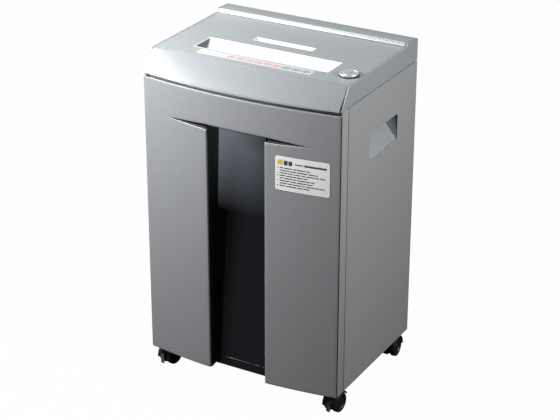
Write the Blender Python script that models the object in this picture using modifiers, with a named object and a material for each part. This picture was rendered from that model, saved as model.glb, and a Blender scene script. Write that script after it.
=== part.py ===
"""Office paper shredder on casters: a steel cabinet with a pull-out bin, and a head with the cutters.

Metres, +Z up. The origin is on the floor, under the middle of the whole machine. -Y is the front,
where the drawer pulls out, and +X is the side that the selector knob is on.
"""

import math

import bmesh
import bpy
from mathutils import Matrix, Vector

# Driving sizes.
WIDTH = 0.405
DEPTH = 0.303  # from the front plane of the cabinet to its rear edge
BOW = 0.019  # how far the drawer front and the fascia bulge at the middle
LIP = 0.003  # how far the fascia overhangs the drawer front
WHEEL_R = 0.020  # casters
BASE_Z = 2 * WHEEL_R + 0.010  # underside of the cabinet, which is the height of a caster
SEAM_Z = 0.618  # where the head sits on the cabinet
PLATE_Z = SEAM_Z + 0.039  # flat top of the head
SHEET = 0.0015  # steel panels
WALL = 0.0025  # moulded shells
CHEEK = 0.003  # thickness of the head's side cheeks
GAP = 0.0003  # between pieces that rest on each other

# Front of the cabinet, in the machine's frame. Depths below are measured back from it.
FRONT = (BOW + LIP - DEPTH) / 2
HALF = WIDTH / 2
INSIDE = HALF - SHEET - GAP  # half the width that fits between the side panels

# Head.
LEAN = 0.0285  # how far the fascia leans back
FASCIA_RETURN = 0.0035
STEP_DEPTH = DEPTH - 0.048  # where the rear ledge rises
STEP_RUN = 0.0045
LEDGE_RISE = 0.0075
LEDGE_FALL = 0.003
REAR_CHAMFER = 0.003
TRIM_WIDTH = 0.008
TRIM_THICK = 0.0016

# Ring round the drawer's mouth.
FRAME_FRONT = 0.0035
FRAME_REAR = 0.038
FRAME_SHOWN = 0.029  # how far back its sides show, in front of the side panels
FRAME_WALL = 0.003
FRAME_SILL = 0.021
FRAME_HEAD = 0.028

# Cutters, with the front comb between them and the frame.
CUTTER_Z = SEAM_Z - 0.020
CUTTER_CENTRES = 0.042
CUTTER_R = CUTTER_CENTRES / 2 + 0.0035
SPACER_R = CUTTER_CENTRES - CUTTER_R - 0.0035
JOURNAL_R = 0.006
DISCS = 12
DISC_PLAY = 0.000375  # between neighbouring cutting discs
COMB_BAR = 0.006
COMB_FINGER = 0.006
COMB_OFF = 0.0045  # from the discs to the bar of the front comb

# Paper feed: a funnel with a slot at its bottom, over the middle of the cutters.
SLOT_LENGTH = 0.225
SLOT_WIDTH = 0.006
SLOT_DEPTH = FRAME_REAR + 0.001 + COMB_BAR + COMB_OFF + CUTTER_R + CUTTER_CENTRES / 2
FUNNEL_HALF = SLOT_LENGTH / 2 + 0.0265
FUNNEL_FRONT = SLOT_DEPTH - 0.025
FUNNEL_REAR = SLOT_DEPTH + 0.032
FUNNEL_DROP = 0.016
FUNNEL_DRAFT = 0.009
FLANGE = 0.005
FUNNEL_WALL = 0.002

# Disc feed.
DISC_LENGTH = 0.125
DISC_WIDTH = 0.005
DISC_FRONT = FUNNEL_REAR + 0.025
DISC_REAR = DISC_FRONT + 0.018
DISC_DROP = 0.006

# Selector knob.
KNOB_X = HALF - 0.0265
KNOB_DEPTH = 0.077
KNOB_R = 0.017
KNOB_HEIGHT = 0.0055
KNOB_STEM_R = 0.003
SWITCH_SIZE = 0.028

# What holds the cutters.
CHUTE_BOTTOM_Z = CUTTER_Z + CUTTER_R + 0.0035
PLATE_T = 0.004
PLATE_IN = SLOT_LENGTH / 2 + 0.006  # inner face of the cutter plates
PLATE_TOP = CHUTE_BOTTOM_Z + 0.006
PLATE_REAR = DISC_REAR + 0.002
TIE_R = 0.005

# Gears. The sync gears mesh at the cutters' own distance, which sets the module.
CUTTER_TEETH = 20
MODULE = CUTTER_CENTRES / CUTTER_TEETH
IDLER_TEETH = 25
PINION_TEETH = 10
GEAR_T = 0.010
BACKLASH = 0.0007
GEAR_RUN = 0.0008  # between the left cutter plate and the gears
IDLER_PIN_R = 0.004
PINION_SHAFT_R = 0.004
MOTOR_R = 0.029
MOTOR_LENGTH = 0.100
MOTOR_SHELL = 0.004
MOTOR_BELL = 0.010
ROTOR_AIR = 0.005  # round the rotor, where the windings are

# Deck that carries the mechanism.
DECK_Z = CUTTER_Z - CUTTER_R - 0.0105
DECK_T = 0.002
DECK_FLANGE = 0.012

# Drawer.
DOOR_BACK = 0.003
DOOR_TOP = SEAM_Z - 0.007
DOOR_WALL = 0.0025
POCKET_EDGE = 0.006
BAND_Z = SEAM_Z - 0.068  # lower edge of the band over the window
BAND_RIB = 0.018
RECESS_HALF = 0.060
RECESS_TOP_BACK = 0.028
RECESS_FOOT_BACK = 0.004
WINDOW_T = 0.0025
WINDOW_LAP = 0.006
GROOVE_TIP = HALF - 0.0525
GROOVE_TALL = 0.010
GROOVE_DEEP = 0.006
RAIL_Z = (BASE_Z + SEAM_Z) / 2 + 0.013  # middle of the slides
RAIL_TALL = 0.040
RAIL_DEEP = 0.0122
RAIL_LENGTH = DEPTH - 0.053
RAIL_T = 0.0012
RUNNER_PLAY = 0.0005

# Side grips.
GRIP_FRONT = 0.113
GRIP_REAR = GRIP_FRONT + 0.113
GRIP_HIGH = DECK_Z - 0.025
GRIP_LOW = GRIP_HIGH - 0.051
GRIP_DEEP = 0.028
GRIP_RAMP = 0.036
GRIP_WALL = 0.002

# Bin and disc tray. The bin fits between the grips and under the deck.
BIN_HALF = INSIDE - GRIP_DEEP - GRIP_WALL - 0.0027
BIN_PAD = 0.0062  # from the bin's side to the runner's web
BIN_FRONT = FRAME_REAR - 0.001
BIN_REAR = DEPTH - 0.018
BIN_FOOT = BASE_Z + 0.025
BIN_TOP = DECK_Z - 0.033
TRAY_FRONT = DISC_FRONT - 0.015
TRAY_REAR = DISC_FRONT + 0.040
TRAY_TALL = 0.090
BIN_WALL = 0.0025
TRAY_WALL = 0.002

# Back panel and cord gland.
BACK_INSET = 0.0065
GLAND_X = HALF - 0.0525
GLAND_Z = BASE_Z + 0.050
GLAND_BORE_R = 0.00425

# Casters.
STEM_X = HALF - 0.0205
STEM_FRONT = 0.053
STEM_REAR = DEPTH - 0.041
STEM_R = 0.0055
STEM_UP = 0.016
BOSS_R = 0.010
TRAIL = WHEEL_R - 0.004
WHEEL_STEPS = 20
WHEEL_T = 0.0105
WEB_T = 0.006
WHEEL_PLAY = 0.0006
AXLE_R = 0.003
HOOD_IN = WHEEL_R + 0.0013
HOOD_OUT = HOOD_IN + 0.0022
HOOD_HALF = 0.0148
HOOD_FRONT_ANGLE = -5
HOOD_BACK_ANGLE = 150
LEVER_HALF = 0.004
LEVER_R = 0.0022
LEVER_Z = WHEEL_R + 0.008
LEVER_DROP = WHEEL_R - 0.001
LEVER_T = 0.0022
EAR_T = 0.002

# Wheel centres sit so that one flat of the faceted tread lies on the floor.
WHEEL_Z = WHEEL_R * math.cos(math.pi / WHEEL_STEPS)

GREY_PAINT = ("painted_silver", (0.46, 0.47, 0.48), 0.38, 0.55)
HEAD_PLASTIC = ("silver_plastic", (0.62, 0.64, 0.65), 0.36, 0.35)
WHITE_PLASTIC = ("white_plastic", (0.86, 0.87, 0.87), 0.30, 0.0)
BLACK_PLASTIC = ("black_plastic", (0.015, 0.015, 0.017), 0.42, 0.0)
SMOKED = ("smoked_acrylic", (0.03, 0.032, 0.036), 0.12, 0.0)
DARK_BIN = ("bin_plastic", (0.05, 0.052, 0.055), 0.5, 0.0)
STEEL = ("zinc_steel", (0.55, 0.56, 0.58), 0.32, 1.0)
TOOL_STEEL = ("tool_steel", (0.38, 0.39, 0.41), 0.28, 1.0)
GEAR_STEEL = ("gear_steel", (0.42, 0.41, 0.39), 0.35, 1.0)
BRIGHT = ("bright_trim", (0.80, 0.81, 0.82), 0.12, 0.9)
BOARD = ("circuit_board", (0.02, 0.16, 0.07), 0.5, 0.0)
TREAD = ("wheel_nylon", (0.02, 0.02, 0.022), 0.38, 0.0)


def depth(value):
    """A depth behind the cabinet's front plane, as a Y coordinate."""
    return FRONT + value


def clear_scene():
    for obj in list(bpy.data.objects):
        bpy.data.objects.remove(obj, do_unlink=True)
    for name in ("paper_shredder", "cutters"):
        collection = bpy.data.collections.new(name)
        bpy.context.scene.collection.children.link(collection)


def material(spec):
    name, colour, roughness, metallic = spec
    found = bpy.data.materials.get(name)
    if found:
        return found
    made = bpy.data.materials.new(name)
    made.use_nodes = True
    shader = made.node_tree.nodes["Principled BSDF"]
    shader.inputs["Base Color"].default_value = (*colour, 1)
    shader.inputs["Roughness"].default_value = roughness
    shader.inputs["Metallic"].default_value = metallic
    return made


def add(name, mesh, spec=None):
    """A new object. With no material it is a cutter or a piece to be joined, and isn't built."""
    obj = bpy.data.objects.new(name, mesh)
    bpy.data.collections["paper_shredder" if spec else "cutters"].objects.link(obj)
    if spec:
        mesh.materials.append(material(spec))
        mesh.shade_smooth()
        mesh.set_sharp_from_angle(angle=math.radians(35))
    else:
        obj.hide_render = True
        obj.display_type = "WIRE"
    return obj


def box(name, low, high, spec=None):
    low, high = Vector(low), Vector(high)
    shape = bmesh.new()
    bmesh.ops.create_cube(shape, size=1)
    bmesh.ops.scale(shape, vec=high - low, verts=shape.verts)
    bmesh.ops.translate(shape, vec=(low + high) / 2, verts=shape.verts)
    return from_bmesh(name, shape, spec)


def from_bmesh(name, shape, spec=None):
    mesh = bpy.data.meshes.new(name)
    shape.to_mesh(mesh)
    shape.free()
    return add(name, mesh, spec)


def frustum(name, low, high, foot_low, foot_high, spec=None):
    """A box whose lower face is the smaller rectangle from foot_low to foot_high in X and Y."""
    obj = box(name, low, high, spec)
    for vertex in obj.data.vertices:
        if vertex.co.z < (low[2] + high[2]) / 2:
            vertex.co.x = foot_low[0] if vertex.co.x < (low[0] + high[0]) / 2 else foot_high[0]
            vertex.co.y = foot_low[1] if vertex.co.y < (low[1] + high[1]) / 2 else foot_high[1]
    return obj


def rod(name, centre, radius, low, high, axis="X", steps=24, spec=None):
    """A cylinder along an axis from low to high. centre gives the other two coordinates, in order."""
    shape = bmesh.new()
    bmesh.ops.create_cone(
        shape, cap_ends=True, segments=steps, radius1=radius, radius2=radius, depth=high - low
    )
    middle = (low + high) / 2
    if axis == "X":
        turn = Matrix.Rotation(math.pi / 2, 4, "Y")
        place = Vector((middle, *centre))
    elif axis == "Y":
        turn = Matrix.Rotation(math.pi / 2, 4, "X")
        place = Vector((centre[0], middle, centre[1]))
    else:
        turn = Matrix.Identity(4)
        place = Vector((*centre, middle))
    bmesh.ops.transform(shape, matrix=Matrix.Translation(place) @ turn, verts=shape.verts)
    return from_bmesh(name, shape, spec)


def plate(name, outlines, axis, low, high, spec=None):
    """Flat outlines, the first one outside and the others holes in it, given a thickness along an axis.

    The outline's coordinates are (Y, Z) for axis X, (X, Z) for axis Y and (X, Y) for axis Z.
    """
    curve = bpy.data.curves.new(name, "CURVE")
    curve.dimensions = "2D"
    curve.fill_mode = "BOTH"
    curve.extrude = (high - low) / 2
    for points in outlines:
        spline = curve.splines.new("POLY")
        spline.points.add(len(points) - 1)
        for point, (u, v) in zip(spline.points, points):
            point.co = (u, v, 0, 1)
        spline.use_cyclic_u = True
    guide = bpy.data.objects.new(name + "_outline", curve)
    bpy.context.scene.collection.objects.link(guide)
    graph = bpy.context.evaluated_depsgraph_get()
    mesh = bpy.data.meshes.new_from_object(guide.evaluated_get(graph))
    bpy.data.objects.remove(guide)
    shape = bmesh.new()
    shape.from_mesh(mesh)
    bmesh.ops.remove_doubles(shape, verts=shape.verts, dist=1e-6)
    columns = {"X": ((0, 1, 0), (0, 0, 1), (1, 0, 0)), "Y": ((1, 0, 0), (0, 0, 1), (0, 1, 0))}
    if axis in columns:
        turn = Matrix(columns[axis]).transposed().to_4x4()
        bmesh.ops.transform(shape, matrix=turn, verts=shape.verts)
    middle = (low + high) / 2
    shift = {"X": (middle, 0, 0), "Y": (0, middle, 0), "Z": (0, 0, middle)}[axis]
    bmesh.ops.translate(shape, vec=shift, verts=shape.verts)
    bmesh.ops.recalc_face_normals(shape, faces=shape.faces)
    shape.to_mesh(mesh)
    shape.free()
    return add(name, mesh, spec)


def turned(name, profile, place, axis="X", steps=24, phase=0.0, spec=None):
    """A profile of (radius, distance along the axis), from its far end to its near end, screwed round."""
    mesh = bpy.data.meshes.new(name)
    verts = [(radius, 0, along) for radius, along in profile]
    closed = profile[0][0] > 0
    edges = [(i, i + 1) for i in range(len(verts) - 1)] + ([(len(verts) - 1, 0)] if closed else [])
    mesh.from_pydata(verts, edges, [])
    obj = add(name, mesh, spec)
    screw = obj.modifiers.new("turn", "SCREW")
    screw.steps = screw.render_steps = steps
    screw.use_merge_vertices = True
    screw.merge_threshold = 1e-5
    screw.use_smooth_shade = bool(spec)
    turns = {"X": Matrix.Rotation(math.pi / 2, 4, "Y"), "Y": Matrix.Rotation(-math.pi / 2, 4, "X")}
    turn = turns.get(axis, Matrix.Identity(4)) @ Matrix.Rotation(phase, 4, "Z")
    obj.matrix_world = Matrix.Translation(place) @ turn
    return obj


def boolean(obj, other, operation):
    change = obj.modifiers.new(other.name, "BOOLEAN")
    change.operation = operation
    change.solver = "EXACT"
    change.object = other
    return obj


def cut(obj, *cutters):
    for cutter in cutters:
        boolean(obj, cutter, "DIFFERENCE")
    return obj


def join(obj, *others):
    for other in others:
        boolean(obj, other, "UNION")
    return obj


def bow(x):
    """How far the bowed front stands ahead of the cabinet's front plane at x."""
    return BOW * (1 - (x / HALF) ** 2)


def arc(centre, radius, start, end, steps):
    """Points on an arc, with its angles in degrees."""
    angles = [math.radians(start + (end - start) * i / steps) for i in range(steps + 1)]
    return [(centre[0] + radius * math.cos(a), centre[1] + radius * math.sin(a)) for a in angles]


# Cabinet.


def side_panel(side, name):
    """Steel side with a flange turned in at the rear and a cut-out for the grip."""
    outer, inner = side * HALF, side * (HALF - SHEET)
    low_x, high_x = sorted((outer, inner))
    top = SEAM_Z - GAP
    panel = box(name, (low_x, depth(FRAME_SHOWN + GAP), BASE_Z), (high_x, depth(DEPTH), top), GREY_PAINT)
    flange_x = sorted((side * (HALF - 0.0005), side * (HALF - 0.012)))
    flange = box(
        name + "_flange",
        (flange_x[0], depth(DEPTH - SHEET), BASE_Z + 0.002),
        (flange_x[1], depth(DEPTH - 0.0001), top - 0.002),
    )
    hole_x = sorted((side * (HALF - 0.010), side * (HALF + 0.010)))
    hole = box(
        name + "_grip_hole",
        (hole_x[0], depth(GRIP_FRONT), GRIP_LOW),
        (hole_x[1], depth(GRIP_REAR), GRIP_HIGH),
    )
    return cut(join(panel, flange), hole)


def grip_outline(side, wall):
    """Section of the grip in X and Z, grown by a wall."""
    mouth = side * (INSIDE + (0 if wall else 0.002))
    floor = side * (INSIDE - GRIP_DEEP - wall)
    return [
        (mouth, GRIP_LOW - 1.3 * wall),
        (mouth, GRIP_HIGH + wall),
        (floor, GRIP_HIGH + wall),
        (floor, GRIP_LOW + GRIP_RAMP - 0.3 * wall),
    ]


def grip_cup(side, name):
    """Moulded hand grip behind the cut-out: a ramp that rises inward from the lower edge."""
    wall = GRIP_WALL
    cup = plate(
        name,
        [grip_outline(side, wall)],
        "Y",
        depth(GRIP_FRONT - wall),
        depth(GRIP_REAR + wall),
        HEAD_PLASTIC,
    )
    rim_x = sorted((side * INSIDE, side * (INSIDE - GRIP_WALL)))
    rim = box(
        name + "_rim",
        (rim_x[0], depth(GRIP_FRONT - 0.008), GRIP_LOW - 0.008),
        (rim_x[1], depth(GRIP_REAR + 0.008), GRIP_HIGH + 0.008),
    )
    hollow = plate(
        name + "_hollow", [grip_outline(side, 0)], "Y", depth(GRIP_FRONT), depth(GRIP_REAR)
    )
    return cut(join(cup, rim), hollow)


def back_panel():
    low_y = depth(DEPTH - BACK_INSET - SHEET)
    panel = box(
        "back_panel",
        (-INSIDE, low_y, BASE_Z),
        (INSIDE, low_y + SHEET, SEAM_Z - GAP),
        GREY_PAINT,
    )
    hole = rod(
        "gland_hole", (GLAND_X, GLAND_Z), 0.008, low_y - 0.01, low_y + 0.01, axis="Y", steps=24
    )
    return cut(panel, hole)


def base_pan():
    """Folded floor of the cabinet, with a socket over each caster."""
    low = (-INSIDE, depth(FRAME_REAR + GAP), BASE_Z)
    high = (INSIDE, depth(DEPTH - BACK_INSET - SHEET - GAP), BASE_Z + 0.014)
    pan = box("base_pan", low, high, GREY_PAINT)
    hollow = box(
        "base_pan_hollow",
        (low[0] + SHEET, low[1] + SHEET, BASE_Z + 0.002),
        (high[0] - SHEET, high[1] - SHEET, BASE_Z + 0.05),
    )
    cut(pan, hollow)
    for x, y in stems():
        tag = f"{'left' if x < 0 else 'right'}_{'front' if y < 0 else 'rear'}"
        boss = rod("boss_" + tag, (x, y), BOSS_R, BASE_Z + 0.001, BASE_Z + STEM_UP + 0.003, "Z", 14)
        bore = rod("stem_bore_" + tag, (x, y), STEM_R + 2 * GAP, BASE_Z - 0.01, BASE_Z + 0.05, "Z", 14)
        cut(join(pan, boss), bore)
    return pan


def stems():
    return [(side * STEM_X, depth(back)) for back in (STEM_FRONT, STEM_REAR) for side in (-1, 1)]


def front_frame():
    """Moulded ring round the drawer's mouth. Its sides show ahead of the panels, which lap over its rear."""
    frame = box(
        "front_frame",
        (-HALF, depth(FRAME_FRONT), BASE_Z),
        (HALF, depth(FRAME_REAR), SEAM_Z - GAP),
        GREY_PAINT,
    )
    mouth = box(
        "frame_mouth",
        (FRAME_WALL - HALF, depth(-0.01), BASE_Z + FRAME_SILL),
        (HALF - FRAME_WALL, depth(FRAME_REAR + 0.01), SEAM_Z - FRAME_HEAD),
    )
    sill = box(
        "frame_sill_relief",
        (-RECESS_HALF - 0.010, depth(-0.01), BASE_Z - 0.01),
        (RECESS_HALF + 0.010, depth(RECESS_FOOT_BACK + WINDOW_T + 0.004), BASE_Z + FRAME_SILL + 0.01),
    )
    cut(frame, mouth, sill)
    for side in (-1, 1):
        low_x, high_x = sorted((side * INSIDE, side * (HALF + 0.010)))
        rebate = box(
            f"frame_rebate_{side}",
            (low_x, depth(FRAME_SHOWN), BASE_Z - 0.01),
            (high_x, depth(FRAME_REAR + 0.01), SEAM_Z + 0.01),
        )
        cut(frame, rebate)
    return frame


def rail(side, name):
    """Fixed channel of a drawer slide, screwed to the side panel."""
    web = INSIDE - RAIL_T
    lip = INSIDE - RAIL_DEEP
    low, high = RAIL_Z - RAIL_TALL / 2, RAIL_Z + RAIL_TALL / 2
    section = [
        (side * INSIDE, low),
        (side * INSIDE, high),
        (side * lip, high),
        (side * lip, high - RAIL_T),
        (side * web, high - RAIL_T),
        (side * web, low + RAIL_T),
        (side * lip, low + RAIL_T),
        (side * lip, low),
    ]
    start = depth(FRAME_REAR + GAP)
    return plate(name, [section], "Y", start, start + RAIL_LENGTH, STEEL)


def mech_deck():
    """Steel tray across the cabinet that carries the cutters, with a mouth that the shreds fall through."""
    low = (-INSIDE, depth(FRAME_REAR + GAP), DECK_Z)
    high = (INSIDE, depth(DEPTH - BACK_INSET - SHEET - GAP), DECK_Z + DECK_FLANGE)
    deck = box("mech_deck", low, high, STEEL)
    hollow = box(
        "deck_hollow",
        (low[0] + SHEET, low[1] - 0.01, DECK_Z + DECK_T),
        (high[0] - SHEET, high[1] + 0.01, DECK_Z + 0.05),
    )
    mouth = box(
        "deck_mouth",
        (-PLATE_IN + 0.006, depth(FRAME_REAR + 0.012), DECK_Z - 0.01),
        (PLATE_IN - 0.006, depth(PLATE_REAR - 0.004), DECK_Z + 0.01),
    )
    return cut(deck, hollow, mouth)


# Head.


def ledge_points():
    """The head's top outline over the ledge, from the foot of its step to its rear edge."""
    top = PLATE_Z + LEDGE_RISE
    return [
        (depth(STEP_DEPTH), PLATE_Z),
        (depth(STEP_DEPTH + STEP_RUN), top),
        (depth(DEPTH - REAR_CHAMFER), top - LEDGE_FALL),
        (depth(DEPTH), top - LEDGE_FALL - REAR_CHAMFER),
    ]


def top_cover():
    """Top plate, rear ledge and rear wall of the head in one moulding."""
    half = HALF - CHEEK - GAP
    line = [(depth(LEAN + FASCIA_RETURN + GAP), PLATE_Z), *ledge_points(), (depth(DEPTH), SEAM_Z)]
    mesh = bpy.data.meshes.new("top_cover")
    verts = [(x, y, z) for x in (-half, half) for y, z in line]
    count = len(line)
    faces = [(i, i + count, i + count + 1, i + 1) for i in range(count - 1)]
    mesh.from_pydata(verts, [], faces)
    cover = add("top_cover", mesh, HEAD_PLASTIC)
    shell = cover.modifiers.new("shell", "SOLIDIFY")
    shell.thickness = WALL
    shell.offset = -1
    shell.use_even_offset = True
    feed = box(
        "feed_opening",
        (-FUNNEL_HALF - GAP, depth(FUNNEL_FRONT) - GAP, PLATE_Z - 0.02),
        (FUNNEL_HALF + GAP, depth(FUNNEL_REAR) + GAP, PLATE_Z + 0.02),
    )
    disc = box(
        "disc_opening",
        (-DISC_LENGTH / 2 - GAP, depth(DISC_FRONT) - GAP, PLATE_Z - 0.02),
        (DISC_LENGTH / 2 + GAP, depth(DISC_REAR) + GAP, PLATE_Z + 0.02),
    )
    knob_axis = (KNOB_X, depth(KNOB_DEPTH))
    knob = rod("knob_opening", knob_axis, KNOB_STEM_R + 0.001, PLATE_Z - 0.02, PLATE_Z + 0.02, "Z", 20)
    return cut(cover, feed, disc, knob)


def head_fascia():
    """Sloping front of the head. Its upper edge is straight and its lower lip bows out."""
    half = HALF - CHEEK - GAP
    columns = 16
    rows = []
    for i in range(columns + 1):
        x = half * (2 * i / columns - 1)
        lip = depth(-LIP - bow(x))
        rows.append(
            [
                (x, depth(LEAN + FASCIA_RETURN), PLATE_Z),
                (x, depth(LEAN), PLATE_Z),
                (x, lip, SEAM_Z + GAP),
                (x, depth(FRAME_FRONT + 0.008), SEAM_Z + GAP),
            ]
        )
    across = len(rows[0])
    verts = [point for row in rows for point in row]
    faces = []
    for i in range(columns):
        for j in range(across - 1):
            here = i * across + j
            faces.append((here, here + 1, here + across + 1, here + across))
    mesh = bpy.data.meshes.new("head_fascia")
    mesh.from_pydata(verts, [], faces)
    fascia = add("head_fascia", mesh, HEAD_PLASTIC)
    shell = fascia.modifiers.new("shell", "SOLIDIFY")
    shell.thickness = WALL
    shell.offset = -1
    shell.use_even_offset = True
    return fascia


def head_cheek(side, name):
    """Flat side of the head, flush with the top plate and the ledge."""
    low_x, high_x = sorted((side * HALF, side * (HALF - CHEEK)))
    outline = [(depth(0), SEAM_Z), (depth(LEAN), PLATE_Z), *ledge_points(), (depth(DEPTH), SEAM_Z)]
    return plate(name, [outline], "X", low_x, high_x, HEAD_PLASTIC)


def ledge_trim():
    """Bright strip along the step up to the ledge."""
    length = math.hypot(STEP_RUN, LEDGE_RISE)
    along = Vector((STEP_RUN, LEDGE_RISE)) / length
    out = Vector((-LEDGE_RISE, STEP_RUN)) / length
    foot = Vector((depth(STEP_DEPTH), PLATE_Z)) + out * GAP + along * 0.0006
    head = foot + along * TRIM_WIDTH
    corners = [foot, head, head + out * TRIM_THICK, foot + out * TRIM_THICK]
    half = HALF - CHEEK - 0.001
    return plate("ledge_trim", [[tuple(c) for c in corners]], "X", -half, half, BRIGHT)


def funnel(name, half, front, rear, drop, slot_centre, slot_half, slot_width, foot_half, bottom, spec):
    """A funnel flush with the top plate, with a flange under it and a chute down from its slot."""
    floor = PLATE_Z - drop
    front_y, rear_y = depth(front), depth(rear)
    slot_low, slot_high = depth(slot_centre) - slot_width / 2, depth(slot_centre) + slot_width / 2
    under = PLATE_Z - WALL - GAP
    wall = FUNNEL_WALL
    body = frustum(
        name,
        (-half, front_y, floor - wall),
        (half, rear_y, PLATE_Z),
        (-foot_half - wall, max(front_y, slot_low - 2 * wall)),
        (foot_half + wall, slot_high + 2 * wall),
        spec,
    )
    flange = box(
        name + "_flange",
        (-half - FLANGE, front_y - FLANGE, under - 0.002),
        (half + FLANGE, rear_y + FLANGE, under),
    )
    chute = box(
        name + "_chute",
        (-slot_half - wall, slot_low - wall, bottom),
        (slot_half + wall, slot_high + wall, floor - wall / 2),
    )
    hollow = frustum(
        name + "_hollow",
        (-half + wall, front_y + wall, floor),
        (half - wall, rear_y - wall, PLATE_Z + 0.0001),
        (-foot_half, slot_low),
        (foot_half, slot_high),
    )
    slot = box(
        name + "_slot", (-slot_half, slot_low, bottom - 0.01), (slot_half, slot_high, PLATE_Z)
    )
    return cut(join(body, flange, chute), hollow, slot)


def feed_throat():
    return funnel(
        "feed_throat",
        FUNNEL_HALF,
        FUNNEL_FRONT,
        FUNNEL_REAR,
        FUNNEL_DROP,
        SLOT_DEPTH,
        SLOT_LENGTH / 2,
        SLOT_WIDTH,
        FUNNEL_HALF - FUNNEL_DRAFT,
        CHUTE_BOTTOM_Z,
        WHITE_PLASTIC,
    )


def disc_chute():
    """Funnel for discs, with a guide under it that slants forward to the rear cutter."""
    inset = 0.0025
    wall = FUNNEL_WALL
    bottom = PLATE_Z - 0.013
    chute = funnel(
        "disc_chute",
        DISC_LENGTH / 2,
        DISC_FRONT,
        DISC_REAR,
        DISC_DROP,
        DISC_FRONT + inset + DISC_WIDTH / 2,
        DISC_LENGTH / 2 - inset,
        DISC_WIDTH,
        DISC_LENGTH / 2 - inset,
        bottom,
        WHITE_PLASTIC,
    )
    top_y = depth(DISC_FRONT + inset + DISC_WIDTH + 0.0002)
    foot_y = depth(cutter_depths()[1] + CUTTER_R + DISC_WIDTH + 0.004)
    foot_z = CHUTE_BOTTOM_Z + 0.0025
    top_z = bottom + 0.0025
    section = [(top_y, top_z), (top_y + wall - GAP, top_z), (foot_y + wall, foot_z), (foot_y, foot_z)]
    guide = plate("disc_guide", [section], "X", -DISC_LENGTH / 2, DISC_LENGTH / 2)
    return join(chute, guide)


# Selector.


def control_knob():
    low = PLATE_Z + 0.0015
    place = (KNOB_X, depth(KNOB_DEPTH), 0)
    profile = [
        (0, low + KNOB_HEIGHT - 0.001),
        (KNOB_R - 0.003, low + KNOB_HEIGHT - 0.0015),
        (KNOB_R - 0.001, low + KNOB_HEIGHT - 0.0025),
        (KNOB_R, low + 0.0005),
        (KNOB_R - 0.0005, low),
        (KNOB_STEM_R, low),
        (KNOB_STEM_R, PLATE_Z - 0.011),
        (0, PLATE_Z - 0.011),
    ]
    knob = turned("control_knob", profile, place, axis="Z", steps=24, spec=BRIGHT)
    ridge = box(
        "knob_ridge",
        (-0.0022, -KNOB_R * 0.82, low + KNOB_HEIGHT - 0.003),
        (0.0022, KNOB_R * 0.82, low + KNOB_HEIGHT),
    )
    ridge.location = place
    return join(knob, ridge)


def rotary_switch():
    half = SWITCH_SIZE / 2
    top = PLATE_Z - WALL - GAP
    x, y = KNOB_X, depth(KNOB_DEPTH)
    low, high = (x - half, y - half, top - 0.015), (x + half * 0.8, y + half, top)
    switch = box("rotary_switch", low, high, BLACK_PLASTIC)
    bore = rod("switch_bore", (x, y), KNOB_STEM_R + GAP, top - 0.009, top + 0.01, "Z", 20)
    return cut(switch, bore)


# Mechanism.


def cutter_shaft(name, y, offset, spec):
    """One shaft with its row of cutting discs. offset is where its first disc lies, as a share of a pitch."""
    pitch = SLOT_LENGTH / DISCS
    disc = pitch / 2 - DISC_PLAY
    left = -PLATE_IN - PLATE_T - GEAR_RUN - GEAR_T - 0.001
    right = PLATE_IN + PLATE_T + 0.001
    shoulder = PLATE_IN - 0.0006
    profile = [(0, right), (JOURNAL_R, right), (JOURNAL_R, shoulder), (SPACER_R, shoulder)]
    for i in reversed(range(DISCS)):
        middle = -SLOT_LENGTH / 2 + (i + offset) * pitch
        profile += [
            (SPACER_R, middle + disc / 2),
            (CUTTER_R, middle + disc / 2),
            (CUTTER_R, middle - disc / 2),
            (SPACER_R, middle - disc / 2),
        ]
    profile += [(SPACER_R, -shoulder), (JOURNAL_R, -shoulder), (JOURNAL_R, left), (0, left)]
    return turned(name, profile, (0, y, CUTTER_Z), steps=12, spec=spec)


def cutter_depths():
    half = CUTTER_CENTRES / 2
    return SLOT_DEPTH - half, SLOT_DEPTH + half


def idler_depth():
    return cutter_depths()[1] + MODULE * (CUTTER_TEETH + IDLER_TEETH) / 2


def motor_depth():
    return idler_depth() + MODULE * (IDLER_TEETH + PINION_TEETH) / 2


def cutter_plate(side, name):
    """Steel end plate that the shafts run in. The left one also carries the idler and the motor."""
    low_x, high_x = sorted((side * PLATE_IN, side * (PLATE_IN + PLATE_T)))
    rear = PLATE_REAR if side > 0 else motor_depth() + MOTOR_R + 0.003
    wall = box(
        name,
        (low_x, depth(FRAME_REAR + 0.001), DECK_Z + DECK_T + GAP),
        (high_x, depth(rear), PLATE_TOP),
        STEEL,
    )
    foot_x = sorted((side * (PLATE_IN + 0.001), side * (PLATE_IN + 0.018)))
    foot_low = rear - 0.030 if side < 0 else FRAME_REAR + 0.010
    foot = box(
        name + "_foot",
        (foot_x[0], depth(foot_low), DECK_Z + DECK_T + GAP),
        (foot_x[1], depth(foot_low + 0.025), DECK_Z + DECK_T + 0.003),
    )
    join(wall, foot)
    for i, back in enumerate(cutter_depths()):
        axis = (depth(back), CUTTER_Z)
        cut(wall, rod(f"{name}_bearing_{i}", axis, JOURNAL_R + GAP, low_x - 0.01, high_x + 0.01, "X", 24))
    if side < 0:
        axis = (depth(motor_depth()), CUTTER_Z)
        bore = rod(name + "_motor_hole", axis, 0.009, low_x - 0.01, high_x + 0.01, "X", 24)
        pin = rod(
            name + "_idler_pin",
            (depth(idler_depth()), CUTTER_Z),
            IDLER_PIN_R,
            low_x - GEAR_RUN - GEAR_T - 0.001,
            low_x + 0.002,
            "X",
            20,
        )
        join(cut(wall, bore), pin)
    return wall


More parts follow.
